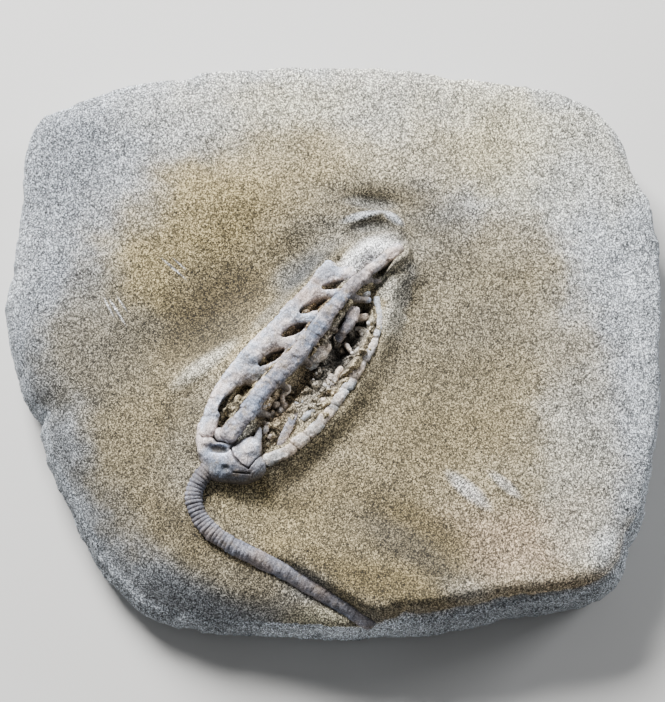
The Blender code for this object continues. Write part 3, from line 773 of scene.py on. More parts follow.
def along_route(place, stations):
    """Length along the route of the point nearest to each place, and the offset from it: out
    to the side, up, and past an end."""
    best, done = None, 0.0
    for start, end in zip(stations, stations[1:]):
        found = list(along_stretch(place, start, end))
        found[1] = found[1] + done
        if best is None:
            best = [np.array(values) for values in found]
        closer = found[0] < best[0]
        for kept, values in zip(best, found):
            kept[closer] = values[closer]
        done += np.linalg.norm(end - start)
    return best[1:]


def route_length(stations):
    return np.linalg.norm(np.diff(stations, axis=0), axis=1).sum()


# ---------------------------------------------------------------- the fossil


def seam_gap(length, seams):
    """Distance along the arm to the nearest seam."""
    return np.min([abs(length - seam) for seam in seams], axis=0)


def arm_distance(offsets, arm):
    """Distance to an arm: flat-topped plates, each a little wider, higher or further to one
    side than the next, that meet in narrow seams."""
    length, aside, above, past = offsets
    share = length / route_length(arm["stations"])
    wide = np.interp(share, np.linspace(0, 1, len(arm["half_width"])), arm["half_width"])
    high = np.interp(share, np.linspace(0, 1, len(arm["half_height"])), arm["half_height"])
    slanted = length + SEAM_SLANT * aside
    gap = seam_gap(slanted, arm["seams"])
    number = np.searchsorted(arm["seams"], slanted)
    wider, higher, sideways = arm["uneven"][number].T
    depth = arm["groove"] * (0.5 + 0.5 * np.sin(number * 1.9))
    size = 1 + arm["swell"] * (1 - np.exp(-gap)) - depth * np.exp(-((gap / SEAM_WIDTH) ** 2))
    shape = abs((aside - sideways) / (wide * size * (1 + wider))) ** ARM_SQUARENESS
    shape = shape + abs(above / (high * size * (1 + higher))) ** ARM_SQUARENESS
    shape = (shape + abs(past / high) ** ARM_SQUARENESS) ** (1 / ARM_SQUARENESS)
    return (shape - 1) * np.minimum(wide, high)


def even_seams(length, pitch, jitter, phase=0.0):
    """Seams about a pitch apart, each moved a little by a wave so that no two plates match."""
    count = int(length / pitch) + 1
    at = pitch * (np.arange(count) + 0.5 + phase)
    return at + jitter * np.sin(2.4 * np.arange(count) + 1)


def arm_form(route, half_width, half_height, seams, swell, groove, uneven):
    """An arm's shape. Uneven says how much its plates differ in width, height and place."""
    random = np.random.default_rng(len(seams))
    differ = random.uniform(-1, 1, (len(seams) + 1, 3)) * uneven
    return {
        "stations": smooth_route(route, 0.5), "half_width": half_width, "half_height": half_height,
        "seams": np.asarray(seams), "swell": swell, "groove": groove, "uneven": differ,
    }


def join_arm(volume, arm):
    """Joins an arm to the volume, looking only at the grid near each stretch of its route."""
    reach = max(arm["half_width"]) + 1
    best = np.full(volume.distance.shape, np.inf, np.float32)
    fields = [np.zeros_like(best) for _ in range(4)]
    done = 0.0
    for start, end in zip(arm["stations"], arm["stations"][1:]):
        part, place = volume.near([start, end], reach)
        gap, *found = along_stretch(place, start, end)
        closer = gap < best[part]
        best[part] = np.where(closer, gap, best[part])
        found[0] = found[0] + done
        for field, values in zip(fields, found):
            field[part] = np.where(closer, values, field[part])
        done += np.linalg.norm(end - start)
    seen = best < reach**2
    distance = np.full(best.shape, FAR, np.float32)
    distance[seen] = arm_distance([field[seen] for field in fields], arm)
    volume.distance = soft_min(volume.distance, distance, ARM_BLEND)


def normals_of(vertices, faces):
    corners = vertices[faces]
    across = np.cross(corners[:, 2] - corners[:, 0], corners[:, 3] - corners[:, 1])
    normals = np.zeros_like(vertices)
    for k in range(4):
        np.add.at(normals, faces[:, k], across)
    return normals / np.maximum(np.linalg.norm(normals, axis=1), 1e-12)[:, None]


def weathered(vertices, faces, amount):
    """The surface roughened along its normals."""
    depth = amount * layered(vertices, CALCITE_ROUGH)
    return vertices + normals_of(vertices, faces) * depth[:, None]


def box_round(*point_sets, margin):
    points = np.vstack([np.atleast_2d(p)[:, :3] for p in point_sets])
    return points.min(axis=0) - margin, points.max(axis=0) + margin


def spread(values, axis, reach, combine):
    """Each value combined with those up to reach steps away along an axis."""
    total = values.copy()
    for step in range(1, reach + 1):
        for shift in (step, -step):
            total = combine(total, np.roll(values, shift, axis))
    return total


def swell(volume, cells):
    """How far each vertex stands out: above 0 on edges and below 0 in creases."""
    solid = (volume.distance < 0).astype(np.float32)
    for axis in range(3):
        solid = spread(solid, axis, SWELL_REACH, np.add) / (2 * SWELL_REACH + 1)
    return 0.5 - solid[cells]


def depth_below_top(volume, cells):
    """How far each vertex lies below the highest part of the piece near it, in millimetres."""
    heights = np.arange(volume.distance.shape[2])
    top = np.where(volume.distance < 0, heights, 0).max(axis=2)
    for axis in range(2):
        top = spread(top, axis, TOP_REACH, np.maximum)
    return VOXEL * (top[cells[:2]] - cells[2])


def fossil_piece(name, volume, material, replaces, seam=None, amount=1.0, shade_below=0.0):
    """The surface of a volume as a piece, with its seams, edges and sunken places marked for dark
    seams, dust, painted highlight and painted shade.
    """
    vertices, faces = volume.surface()
    cells = tuple(np.round((vertices - volume.low) / VOXEL).astype(int).T)
    seam_share = np.zeros(len(vertices)) if seam is None else seam(vertices)
    vertices = weathered(vertices, faces, amount)
    piece = mesh_object(name, vertices, faces.tolist(), material, replaces)
    add_values(piece, "seam", seam_share)
    add_values(piece, "swell", swell(volume, cells))
    # Below shade_below, lower parts count as more sunken and get painted shade and dust; only the cup
    # sets it.
    low = SHADE_SLOPE * (shade_below - vertices[:, 2])
    add_values(piece, "sunk", np.maximum(depth_below_top(volume, cells), low))


def arm_seam(arm):
    """How close each vertex is to a seam of the arm, from 0 to 1, stronger at some than others."""
    def share(vertices):
        length, aside, above, _ = along_route(vertices.T, arm["stations"])
        near = np.hypot(aside, above) < max(arm["half_width"]) * 1.25
        slanted = length + SEAM_SLANT * aside
        patchy = np.clip(0.55 + 1.1 * fractal(vertices, 1.2, 2, shift=2.0), 0, 1)
        return near * patchy * np.exp(-((seam_gap(slanted, arm["seams"]) / SEAM_SHADE) ** 2))
    return share


def make_arm(piece, node, material, box, form, rods=(), rod_blend=0.0, windows=()):
    """An arm's plates, with the rods that grow from them and the windows cut through those."""
    arm = arm_form(*form)
    volume = Volume(*box)
    join_arm(volume, arm)
    for rod_form in rods:
        volume.join_rod(rod_form, rod_blend)
    for window in windows:
        volume.cut_lump(window, WINDOW_BLEND)
    fossil_piece(piece, volume, material, [node], arm_seam(arm))


def make_arms(left, middle, right):
    """Each arm: route, half widths and half heights from the cup outwards, seams, how far plates
    bulge, how deep grooves are, and how much plates differ in width, height and place."""
    form = (
        LEFT_ROUTE, (1.25, 1.35, 1.50, 1.45, 1.15), (1.35, 1.4, 1.4, 1.3, 1.0),
        even_seams(32, 3.4, 0.5), 0.02, 0.05, (0.05, 0.03, 0.06),
    )
    box = box_round(LEFT_ROUTE, MIDDLE_ROUTE, margin=2.6)
    make_arm("arm_left_plates", "arm_left", left, box, form, WEBS, WEB_BLEND, WINDOWS)
    form = (
        MIDDLE_ROUTE, (1.45, 1.3, 1.38, 1.32, 1.15, 0.9, 0.8),
        (1.45, 1.4, 1.45, 1.35, 1.2, 1.0, 0.8),
        even_seams(40, 2.7, 0.5, 0.2), 0.03, 0.06, (0.07, 0.05, 0.10),
    )
    box = box_round(MIDDLE_ROUTE, margin=3.2)
    make_arm("arm_middle_plates", "arm_middle", middle, box, form, MIDDLE_STUBS, STUB_BLEND)
    form = (
        RIGHT_ROUTE, (0.95, 0.90, 0.85, 0.75, 0.62, 0.55), (0.85, 0.85, 0.85, 0.90, 0.75, 0.6),
        RIGHT_SEAMS, 0.12, 0.28, (0.15, 0.12, 0.22),
    )
    make_arm("arm_right_beads", "arm_right", right, box_round(RIGHT_ROUTE, margin=2.4), form)
    inner = {
        "inner_arm_upper": (INNER_UPPER_ROUTE, (0.95, 0.95, 0.70), (0.9, 0.9, 0.7)),
        "inner_arm_lower": (INNER_LOWER_ROUTE, (0.60, 0.75, 0.45), (0.6, 0.7, 0.45)),
    }
    for name, shape in inner.items():
        form = (*shape, even_seams(8, 2.6, 0.2), 0.05, 0.08, (0.08, 0.08, 0.08))
        make_arm(name + "_plates", name, middle, box_round(shape[0], margin=2.2), form)


def make_cup(material):
    """The cup: its body, plates and rim joined up, then its hollows and seams cut."""
    volume = Volume(*CUP_BOX)
    volume.join_lump(CUP_BODY, CUP_BLEND)
    for form in CUP_PLATES:
        volume.join_lump(form, LUMP_BLEND)
    for start, end in zip(CUP_RIM, CUP_RIM[1:]):
        volume.join_rod((*start, *end, CUP_RIM_RADIUS, CUP_RIM_RADIUS), CUP_BLEND)
    for form in CUP_HOLLOWS:
        volume.cut_lump(form, CUP_HOLLOW_BLEND)
    for line in CUP_SEAMS:
        volume.cut_seam(line, CUP_SEAM_WIDTH, CUP_SEAM_DEPTH, CUP_SEAM_BLEND)

    def seam(vertices):
        return np.exp(-((plan_gap(vertices.T, CUP_SEAMS) / SEAM_SHADE) ** 2))

    fossil_piece(
        "calyx_plates", volume, material, ["calyx"], seam, CUP_ROUGH,
        CUP_SHADE_BELOW,
    )


def make_rubble(material):
    """Broken plates, with grains of many sizes strewn in patches on the stone between the arms."""
    volume = Volume(*RUBBLE_BOX)
    for form in RUBBLE:
        volume.join_lump(form, LUMP_BLEND)
    random = np.random.default_rng(RUBBLE_SEED)
    for x, y, half_length, half_width, turn, count in RUBBLE_PATCHES:
        away = np.sqrt(random.uniform(0, 1, count))
        azimuth = random.uniform(0, 2 * math.pi, count)
        along, across = away * np.cos(azimuth) * half_length, away * np.sin(azimuth) * half_width
        turn = math.radians(turn)
        grain_x = x + along * math.cos(turn) - across * math.sin(turn)
        grain_y = y + along * math.sin(turn) + across * math.cos(turn)
        grain_z = fill_level(grain_x, grain_y)
        low, high = RUBBLE_SIZES
        for k in range(count):
            across = low + (high - low) * random.uniform() ** 2
            long = across * random.uniform(*RUBBLE_LENGTHS)
            place = (grain_x[k], grain_y[k], grain_z[k] - RUBBLE_SINK)
            volume.join_lump((*place, long, across, across, random.uniform(0, 180)), GRAIN_BLEND)
    fossil_piece("crown_rubble", volume, material, [], amount=RUBBLE_ROUGH)


def clods(x, y, size):
    """Flat-topped clods of this size and of many heights, from 0 to 1, with deep creases
    between them."""
    heights = []
    for a, b in zip(x, y):
        near, centres = noise.voronoi(Vector((a / size, b / size, 0.0)))
        flat_top = min(1, CLOD_STEEPNESS * (near[1] - near[0]))
        heights.append(flat_top * (CLOD_LOWEST + (1 - CLOD_LOWEST) * noise.cell(centres[0] * 7.3)))
    return np.array(heights)


def inside_crown(x, y):
    """1 between the left and the right arm, falling to 0 underneath them."""
    gap_left, _, left_of_left = nearest(FILL_LEFT, x, y)
    gap_right, _, left_of_right = nearest(FILL_RIGHT, x, y)
    outside = np.maximum(np.where(left_of_left, gap_left, 0), np.where(left_of_right, 0, gap_right))
    return smoothstep(1.2 - outside) * smoothstep(3.0 * (1.0 - oval(x, y, *FILL)))


def fill_level(x, y):
    """Height of the clotted stone that fills the crown between its arms."""
    level = ground(x, y) + sum(bump(x, y, feature) for feature in CROWN_RELIEF + FILL_RELIEF)
    flat = np.stack([x, y, np.zeros_like(x)], axis=1)
    bent_x, bent_y = x + layered(flat, CLOD_BENDS[:1]), y + layered(flat, CLOD_BENDS[1:])
    lumpy = sum(height * clods(bent_x, bent_y, size) for height, size in CLODS)
    lumpy = lumpy + layered(flat, CLOD_ROUGH)
    return level - FILL_DROP + lumpy - FILL_DIP * (1 - inside_crown(x, y))


def make_fill(material):
    """A slab of clotted stone whose top shows between the arms. Its edges dip into the stone."""
    volume = Volume(*FILL_BOX)
    x, y = [volume.low[k] + VOXEL * np.arange(volume.distance.shape[k]) for k in (0, 1)]
    x, y = np.meshgrid(x, y, indexing="ij")
    seen = inside_crown(x, y) > FILL_SEEN
    level = np.full(x.shape, FILL_UNSEEN_LEVEL)
    level[seen] = fill_level(x[seen], y[seen])
    floor = np.maximum(ground(x, y) - FILL_THICK, volume.low[2] + 2 * VOXEL)
    z = volume.low[2] + VOXEL * np.arange(volume.distance.shape[2])
    distance = np.maximum(z - level[:, :, None], floor[:, :, None] - z)
    volume.distance = distance.astype(np.float32)
    vertices, faces = volume.surface()
    cells = tuple(np.round((vertices - volume.low) / VOXEL).astype(int).T)
    fill = mesh_object("crown_fill", vertices, faces.tolist(), material)
    add_values(fill, "side", np.zeros(len(vertices)))
    add_values(fill, "rust", np.zeros(len(vertices)))
    # Painted shade, deeper the lower the clotted stone lies, and painted highlight on its edges with
    # painted shade in its creases.
    low = smoothstep((FILL_DARK_FROM - vertices[:, 2]) / FILL_DARK_DEPTH)
    shade = np.clip(1 + FILL_SWELL * swell(volume, cells), *FILL_SHADES)
    add_values(fill, "shade", shade * (FILL_PALE - FILL_DARK * low))


def make_stem(material):
    """Round discs in a row, each with a rounded rim and a narrow groove on either side."""
    route = smooth_route(STEM_ROUTE, 0.1)
    total = route_length(route)
    count = round(total / COLUMNAL_PITCH)
    lengths = np.concatenate([[0], np.cumsum(np.linalg.norm(np.diff(route, axis=0), axis=1))])
    rings, rows = [], []
    angles = np.linspace(0, 2 * math.pi, STEM_SIDES, endpoint=False)
    for disc in range(count):
        worn = STEM_WORN * min(1, max(0, disc / count - STEM_WORN_FROM) / STEM_WORN_BY)
        wobble = 1 + (1 - 0.6 * worn) * (0.035 * math.sin(disc * 2.7) + 0.02 * math.sin(disc * 7.1))
        for phase, groove_size in COLUMNAL_PROFILE:
            size = groove_size + (1 - groove_size) * worn
            at = (disc + phase) / count * total
            centre = np.array([np.interp(at, lengths, route[:, k]) for k in range(3)])
            ahead = np.array([np.interp(at + 0.4, lengths, route[:, k]) for k in range(3)])
            behind = np.array([np.interp(at - 0.4, lengths, route[:, k]) for k in range(3)])
            forward = (ahead - behind) / np.linalg.norm(ahead - behind)
            side = np.array([-forward[1], forward[0], 0]) / np.hypot(forward[0], forward[1])
            upward = np.cross(side, forward)
            radius = STEM_RADIUS_CUP + (STEM_RADIUS_END - STEM_RADIUS_CUP) * at / total
            spoke = np.cos(angles)[:, None] * side + np.sin(angles)[:, None] * upward
            rings.append(centre + radius * size * wobble * spoke)
            rows.append(np.full(STEM_SIDES, (1 - size) / 0.14))
    vertices = np.vstack(rings)
    index = np.arange(len(vertices)).reshape(-1, STEM_SIDES)
    turned = np.roll(index, -1, axis=1)
    faces = np.stack([index[:-1], turned[:-1], turned[1:], index[1:]], axis=-1).reshape(-1, 4)
    caps = [index[0][::-1].tolist(), index[-1].tolist()]
    rough = weathered(vertices, faces, STEM_ROUGH)
    faces = faces.tolist() + caps
    stem = mesh_object("stem_columnals", rough, faces, material, ["stem"])
    add_values(stem, "seam", np.concatenate(rows))
    add_values(stem, "swell", np.zeros(len(vertices)))
    # Painted shade, with dust, that grows round the stem away from upward; as upward points down here,
    # the stem is darkest on its top and palest underneath.
    add_values(stem, "sunk", np.tile(STEM_SHADE * (1 - np.sin(angles)), len(rings)))


# ---------------------------------------------------------------- materials


def add(tree, kind, inputs=(), **settings):
    """A new node. An input is given as a value, or as the socket that feeds it."""
    node = tree.nodes.new(kind)
    for name, value in settings.items():
        setattr(node, name, value)
    for name, value in dict(inputs).items():
        if isinstance(value, bpy.types.NodeSocket):
            tree.links.new(value, node.inputs[name])
        else:
            node.inputs[name].default_value = value
    return node


def new_material(name, roughness):
    material = bpy.data.materials.new(name)
    material.use_nodes = True
    tree = material.node_tree
    shader = tree.nodes["Principled BSDF"]
    shader.inputs["Roughness"].default_value = roughness
    return material, tree, shader


def place_in_mm(tree):
    """The place on the piece, in millimetres."""
    return scaled(tree, add(tree, "ShaderNodeTexCoord").outputs["Object"], 1 / MM)


def mix(tree, factor, first, second, blend="MIX"):
    node = add(tree, "ShaderNodeMix", data_type="RGBA", blend_type=blend)
    for socket, value in ((0, factor), (6, first), (7, second)):
        if isinstance(value, bpy.types.NodeSocket):
            tree.links.new(value, node.inputs[socket])
        else:
            node.inputs[socket].default_value = value if socket == 0 else (*value, 1.0)
    return node.outputs[2]


def noise_value(tree, place, size, detail=2.0, rough=0.5):
    """Noise from 0 to 1 with features of this size in millimetres."""
    inputs = {"Vector": place, "Scale": 1 / size, "Detail": detail, "Roughness": rough}
    return add(tree, "ShaderNodeTexNoise", inputs).outputs["Fac"]


def remap(tree, value, low, high, to_low=0.0, to_high=1.0, kind="SMOOTHSTEP"):
    inputs = {"Value": value, "From Min": low, "From Max": high, "To Min": to_low, "To Max": to_high}
    return add(tree, "ShaderNodeMapRange", inputs, interpolation_type=kind).outputs["Result"]


def remap_linear(*values):
    return remap(*values, kind="LINEAR")


def math_node(tree, operation, *inputs):
    return add(tree, "ShaderNodeMath", enumerate(inputs), operation=operation).outputs[0]


def product(tree, first, second):
    return math_node(tree, "MULTIPLY", first, second)


def power(tree, base, exponent):
    return math_node(tree, "POWER", base, exponent)


def scaled(tree, vector, factor):
    inputs = {0: vector, "Scale": factor}
    return add(tree, "ShaderNodeVectorMath", inputs, operation="SCALE").outputs["Vector"]


def dress(tree, shader, colour, relief, strength, distance):
    """Gives the shader its colour and its bumps."""
    tree.links.new(colour, shader.inputs["Base Color"])
    bumps = {"Height": relief, "Strength": strength, "Distance": distance}
    tree.links.new(add(tree, "ShaderNodeBump", bumps).outputs["Normal"], shader.inputs["Normal"])


def attribute(tree, name):
    return add(tree, "ShaderNodeAttribute", attribute_name=name).outputs["Fac"]


def grains(tree, place, size):
    """A value from 0 to 1 for each grain of this size in millimetres, different from its
    neighbours."""
    return add(tree, "ShaderNodeTexVoronoi", {"Vector": place, "Scale": 1 / size}).outputs["Color"]


def stain(tree, place, x, y, half_length, half_width, turn, strength):
    """How strongly a soft-edged oval stain shows: strength in the middle and 0 outside."""
    inputs = {
        "Vector": place,
        "Location": (x, y, 0),
        "Rotation": (0, 0, math.radians(turn)),
        "Scale": (half_length, half_width, 1000),
    }
    inside = add(tree, "ShaderNodeMapping", inputs, vector_type="TEXTURE").outputs["Vector"]
    away = add(tree, "ShaderNodeVectorMath", {0: inside}, operation="LENGTH").outputs["Value"]
    return remap(tree, away, *STAIN_EDGE, 0.0, strength)


# Colours of the stone, and its stains: place, half sizes, turn, strength and colour.
BLUE_GREY = (0.300, 0.322, 0.350)
SLATE = (0.185, 0.205, 0.232)
PALE = (0.470, 0.455, 0.385)
CREAM = (0.450, 0.420, 0.300)
OCHRE = (0.262, 0.208, 0.094)
TAN = (0.250, 0.208, 0.122)
BROWN = (0.140, 0.110, 0.052)
UMBER = (0.080, 0.064, 0.036)
RUSSET = (0.350, 0.262, 0.175)
# A grey: the stone's tone in some stains, painted shadow in others.
GREY_AND_SHADOW = (0.165, 0.168, 0.162)
WHITE = (0.700, 0.710, 0.720)
SIDE_COLOUR = (0.265, 0.290, 0.320)
SILVER = (0.410, 0.440, 0.475)
RUST_COLOUR = (0.190, 0.135, 0.055)
DRAB = (0.150, 0.132, 0.092)
# A dark earth brown: the stone's tone in some stains, painted shadow in others.
EARTH_AND_SHADOW = (0.105, 0.086, 0.048)
# A dark grey, painted as shadow beside the left arm's upper end, and used once more in a hollow near
# (11, -33).
SHADOW_GREY = (0.085, 0.088, 0.088)
# Some stains are painted shadow: the dark grey ones beside the left arm's upper end, the grey ones at
# (-6, 11.5) and (-10, 4) along that arm, the grey ones at (6.5, 18.4) and (6, 22.6) and the earth one
# at (8, 23.6) on either side of the curved ridge at about (7, 20), and the earth one at (-21, 0.6) on
# the slope left of the crown. The silver ones on that ridge, at (5, 20.3) and (9.6, 19.9), are partly
# painted highlight.
STAINS = [
    (-46, 30, 12, 16, -20, 0.75, SLATE), (-46, -6, 9, 16, 10, 0.75, SLATE),
    (4, 37, 38, 13, 0, 0.85, PALE), (32, 31, 20, 13, -25, 0.8, CREAM),
    (-6, 39, 12, 6, 0, 0.5, CREAM), (2, -4, 44, 35, -18, 0.92, TAN),
    (22, -26, 26, 20, -20, 0.85, TAN), (-13, 12, 30, 22, 20, 0.85, TAN),
    (-20, 20, 14, 10, 10, 0.8, OCHRE), (-31, 10, 9, 10, 60, 0.8, OCHRE),
    (-8, 29, 18, 7, 5, 0.65, OCHRE), (29, 13, 15, 10, 10, 0.6, OCHRE),
    (39, 22, 8, 15, 0, 0.5, SILVER), (34, 0, 10, 12, 10, 0.45, OCHRE),
    (18, 30, 16, 8, 10, 0.45, OCHRE), (22, -10, 13, 10, 0, 0.6, OCHRE),
    (-31, -14, 9, 15, -10, 0.7, OCHRE), (-10, -28, 18, 8, -25, 0.75, OCHRE),
    (12, -16, 13, 9, -30, 0.45, BROWN), (-2, -44, 8, 4, 0, 0.6, OCHRE),
    (32, -34, 22, 9, -10, 0.7, RUSSET), (13, -30.5, 13, 6.5, -33, 0.85, BROWN),
    (-15, -36.5, 14, 5.5, -27, 0.85, TAN), (-30, -27, 9, 7, -50, 0.6, TAN),
    (8, -36, 14, 6, -12, 0.8, TAN), (-1, -44.5, 7, 2.5, -5, 0.8, CREAM),
    (8, 21, 12, 6, 0, 0.75, DRAB), (20, 13, 8, 7, 0, 0.4, DRAB), (-35, -1, 10, 9, 0, 0.55, DRAB),
    (-27, -16, 10, 13, 0, 0.45, BROWN), (-14, -31.5, 13, 5, -25, 0.55, BROWN),
    (-21, -13, 6, 7, 20, 0.4, DRAB), (-2, -28, 11, 9, 0, 0.6, BROWN),
    (-5, -34.4, 7, 2.6, -25, 0.7, BROWN), (12.5, -33.5, 10, 4.4, -26, 0.85, BROWN),
    (-24, -31, 9, 5.5, -50, 0.6, BROWN), (-2, -23.5, 7, 4.5, 20, 0.55, BROWN),
    (38, -22, 7, 18, 0, 0.4, PALE), (43, -33, 6, 6, 0, 0.75, PALE), (32, -38.5, 12, 3, 8, 0.4, TAN),
    (4.5, -41, 10, 3.4, -26, 0.85, BROWN), (51, 0, 6, 34, 0, 0.8, SILVER),
    (-42, 8, 9, 12, 0, 0.55, SLATE), (-20, 5, 14, 7, 38, 0.9, BROWN),
    (-18, 4, 9, 3.5, 38, 0.7, UMBER), (-6, 11.5, 5, 3, 40, 0.75, GREY_AND_SHADOW),
    (3, 17.5, 12, 3.5, -5, 0.45, GREY_AND_SHADOW), (10, 8, 3, 6, -10, 0.45, SLATE),
    (-4, 11.6, 4.8, 1.9, 42, 0.75, SHADOW_GREY), (-10, 4, 5, 1.6, 46, 0.45, GREY_AND_SHADOW),
    (13, 20, 7, 7, 0, 0.45, GREY_AND_SHADOW), (-20, 6, 12, 6, 38, 0.4, UMBER), (-38, -2, 10, 13, 0, 0.55, GREY_AND_SHADOW),
    (12, -33.5, 10, 3.4, -33, 0.7, UMBER), (11, -33, 10, 3.4, -33, 0.26, SHADOW_GREY),
    (-20, 1.5, 6, 2.8, 38, 0.5, BROWN), (9, 21, 9, 5, 0, 0.45, DRAB),
    (-37, -2, 11, 14, 0, 0.58, DRAB), (9, -39, 15, 4, -16, 0.95, BROWN),
    (29, 5, 8, 5, 0, 0.35, DRAB), (43, 12, 6, 12, 0, 0.5, SILVER), (44, -34, 5, 5, 0, 0.6, SILVER),
    (-26, -28, 9, 6, -50, 0.45, BROWN), (8, 23, 10, 3.8, 0, 0.68, DRAB),
    (11, 17, 6, 3.2, 0, 0.55, DRAB), (-4, 16, 6, 3.6, 20, 0.45, DRAB),
    (21, -1, 16, 11, 0, 0.55, DRAB), (19, -12, 13, 8, 0, 0.3, DRAB),
    (21.5, 14.5, 10, 7, 0, 0.5, DRAB), (-18.5, 0.8, 6, 3.4, 38, 0.8, DRAB),
    (8.6, 5.5, 2.2, 7, 5, 0.6, PALE), (1.5, -1, 8, 3, 58, 0.75, SLATE),
    (-3.5, -10.5, 5, 2.2, 50, 0.6, PALE), (-9.2, -12, 3.5, 2, 55, 0.6, RUSSET),
    (-4.6, 2.2, 9, 2, 52, 0.6, RUSSET), (-13.6, -15.9, 2.6, 1.4, 52, 0.6, PALE),
    (-20, -4, 7, 1.7, 38, 0.7, PALE), (-13, -3.5, 7, 1.6, 50, 0.45, WHITE),
    (-21, 0.6, 6, 3.6, 34, 0.85, EARTH_AND_SHADOW), (-33, -9, 14, 20, 0, 0.42, EARTH_AND_SHADOW),
    (18, -6, 19, 14, 0, 0.26, EARTH_AND_SHADOW), (-17, 1.8, 8, 3.2, 38, 0.5, EARTH_AND_SHADOW),
    (-6.2, 9, 4.6, 2, 45, 0.55, SHADOW_GREY), (17, -33.5, 11, 4, -8, 0.3, EARTH_AND_SHADOW),
    (-21, -31, 8, 7, -30, 0.25, EARTH_AND_SHADOW), (5.5, 13, 7, 3, 36, 0.95, WHITE),
    (-1.8, 14.2, 4.4, 2.8, 30, 0.6, SHADOW_GREY), (8, 23.6, 9, 3.4, -6, 0.5, EARTH_AND_SHADOW),
    (9.5, 17.5, 4.5, 2.6, 0, 0.45, EARTH_AND_SHADOW), (6.5, 18.4, 4.2, 1.2, 0, 0.55, GREY_AND_SHADOW),
    (6, 22.6, 5, 1.3, -5, 0.6, GREY_AND_SHADOW), (5, 20.3, 3.8, 0.9, 14, 0.8, SILVER),
    (9.6, 19.9, 2.2, 0.9, -40, 0.8, SILVER), (-5, -19.5, 9, 2.6, 42, 0.5, BROWN),
    (-1.8, -6.3, 13, 4.2, 50, 0.35, RUSSET), (0.5, -4, 9, 3, 55, 0.5, GREY_AND_SHADOW),
    (21, -24.4, 4.6, 1.4, -41, 0.5, WHITE), (26.8, -23.6, 3.4, 1, -40, 0.35, WHITE),
    (-25.3, 12, 2.6, 0.22, -39, 0.75, WHITE), (-24.3, 12.7, 1.5, 0.18, -39, 0.6, WHITE),
    (-34, 4.6, 2.6, 0.24, -58, 0.7, WHITE), (-35.3, 5.2, 2, 0.2, -62, 0.6, WHITE),
    (-33.2, 5.8, 1.6, 0.2, -55, 0.5, WHITE),
]

# How far the edges of stains drift, and below which half width they stay where they are.
STAIN_DRIFT = (12, 12, 0)
DRIFT_NOISE = {"Scale": 0.13, "Detail": 4.0}
FIRM_STAIN = 6
STAIN_EDGE = (1.20, 0.35)

# Grain of the stone: sizes in millimetres, contrasts and the bounds of the shade they make. Noises
# of the stone: size, detail and roughness, then the span of noise and the shades it becomes.
STONE_ROUGHNESS = 0.92
GRAIN_SIZE = 0.148
GRAIN_CONTRAST = 90.0
GRIT_SIZE = 0.20
GRIT_CONTRAST = 14.0
PATCH_SIZE = 0.40
PATCH_CONTRAST = 1.8
GRAIN_DARKEST = 0.0145
GRAIN_PALEST = 3.2
CLOUDS = (7.0, 3.0, 0.6), (0.3, 0.7, 0.78, 1.22)
MOTTLE = (1.3, 3.0, 0.7), (0.25, 0.75, 0.78, 1.22)
STONE_BUMPS = (0.6, 2.0, 0.7)
STONE_BUMP_STRENGTH = 0.8
STONE_BUMP_DEPTH = 0.22 * MM

# Calcite of each part of the fossil: its two mottled colours and the colour of its seams.
CALCITE = {
    "arms": ((0.300, 0.306, 0.328), (0.42, 0.42, 0.43), (0.10, 0.08, 0.07)),
    "middle": ((0.090, 0.097, 0.115), (0.25, 0.25, 0.27), (0.08, 0.07, 0.07)),
    "dusty": ((0.215, 0.203, 0.185), (0.39, 0.38, 0.35), (0.10, 0.08, 0.06)),
    "cup": ((0.150, 0.160, 0.185), (0.34, 0.35, 0.375), (0.09, 0.08, 0.08)),
    "stem": ((0.165, 0.167, 0.200), (0.30, 0.298, 0.335), (0.07, 0.06, 0.07)),
}

# Stains on the fossil, as on the stone, and the colour of the dust in its hollows.
DUST = (0.290, 0.235, 0.170)
FOSSIL_STAINS = [
    (-4, 7.5, 7, 3.4, 45, 0.60, (0.200, 0.165, 0.145)),
    (-18, -11, 5, 2.0, 60, 0.40, (0.420, 0.400, 0.410)),
    (-7, -6, 11, 1.9, 48, 0.50, (0.140, 0.158, 0.200)),
    (8, 12.2, 4.5, 2.0, 38, 0.55, (0.420, 0.385, 0.355)),
    # The cup's stains are painted light: the dark one at its bottom is painted shade, and the pale
    # ones on its right plate, its left rim and its crest are painted highlight.
    (-16, -22.2, 6.5, 2.2, -5, 0.75, (0.065, 0.070, 0.082)),
    (-12.4, -17.6, 2.3, 1.5, 45, 0.65, (0.520, 0.530, 0.550)),
    (-20.4, -16.5, 1.2, 3.6, 0, 0.55, (0.500, 0.500, 0.520)),
    (-17.2, -19.6, 2.8, 0.8, 0, 0.60, (0.520, 0.500, 0.550)),
    (-4, -16, 9, 2.0, 42, 0.35, (0.270, 0.240, 0.195)),
]

# Noises of the calcite, as for the stone, and spans: from one measure, low and high, to another.
FOSSIL_ROUGHNESS = 0.72
PALE_MOTTLE = (2.4, 4.0, 0.65), (0.38, 0.62)
TINTS = (5.0, 3.0, 0.6), (0.38, 0.62)
COOL_TINT = (0.86, 0.97, 1.14)
WARM_TINT = (1.14, 1.00, 0.92)
DUST_PATCHES = (1.6, 3.0, 0.7), (0.52, 0.72, 0.0, 0.55)
DUST_BY_DEPTH = (0.6, 2.2, 0.0, 0.60)
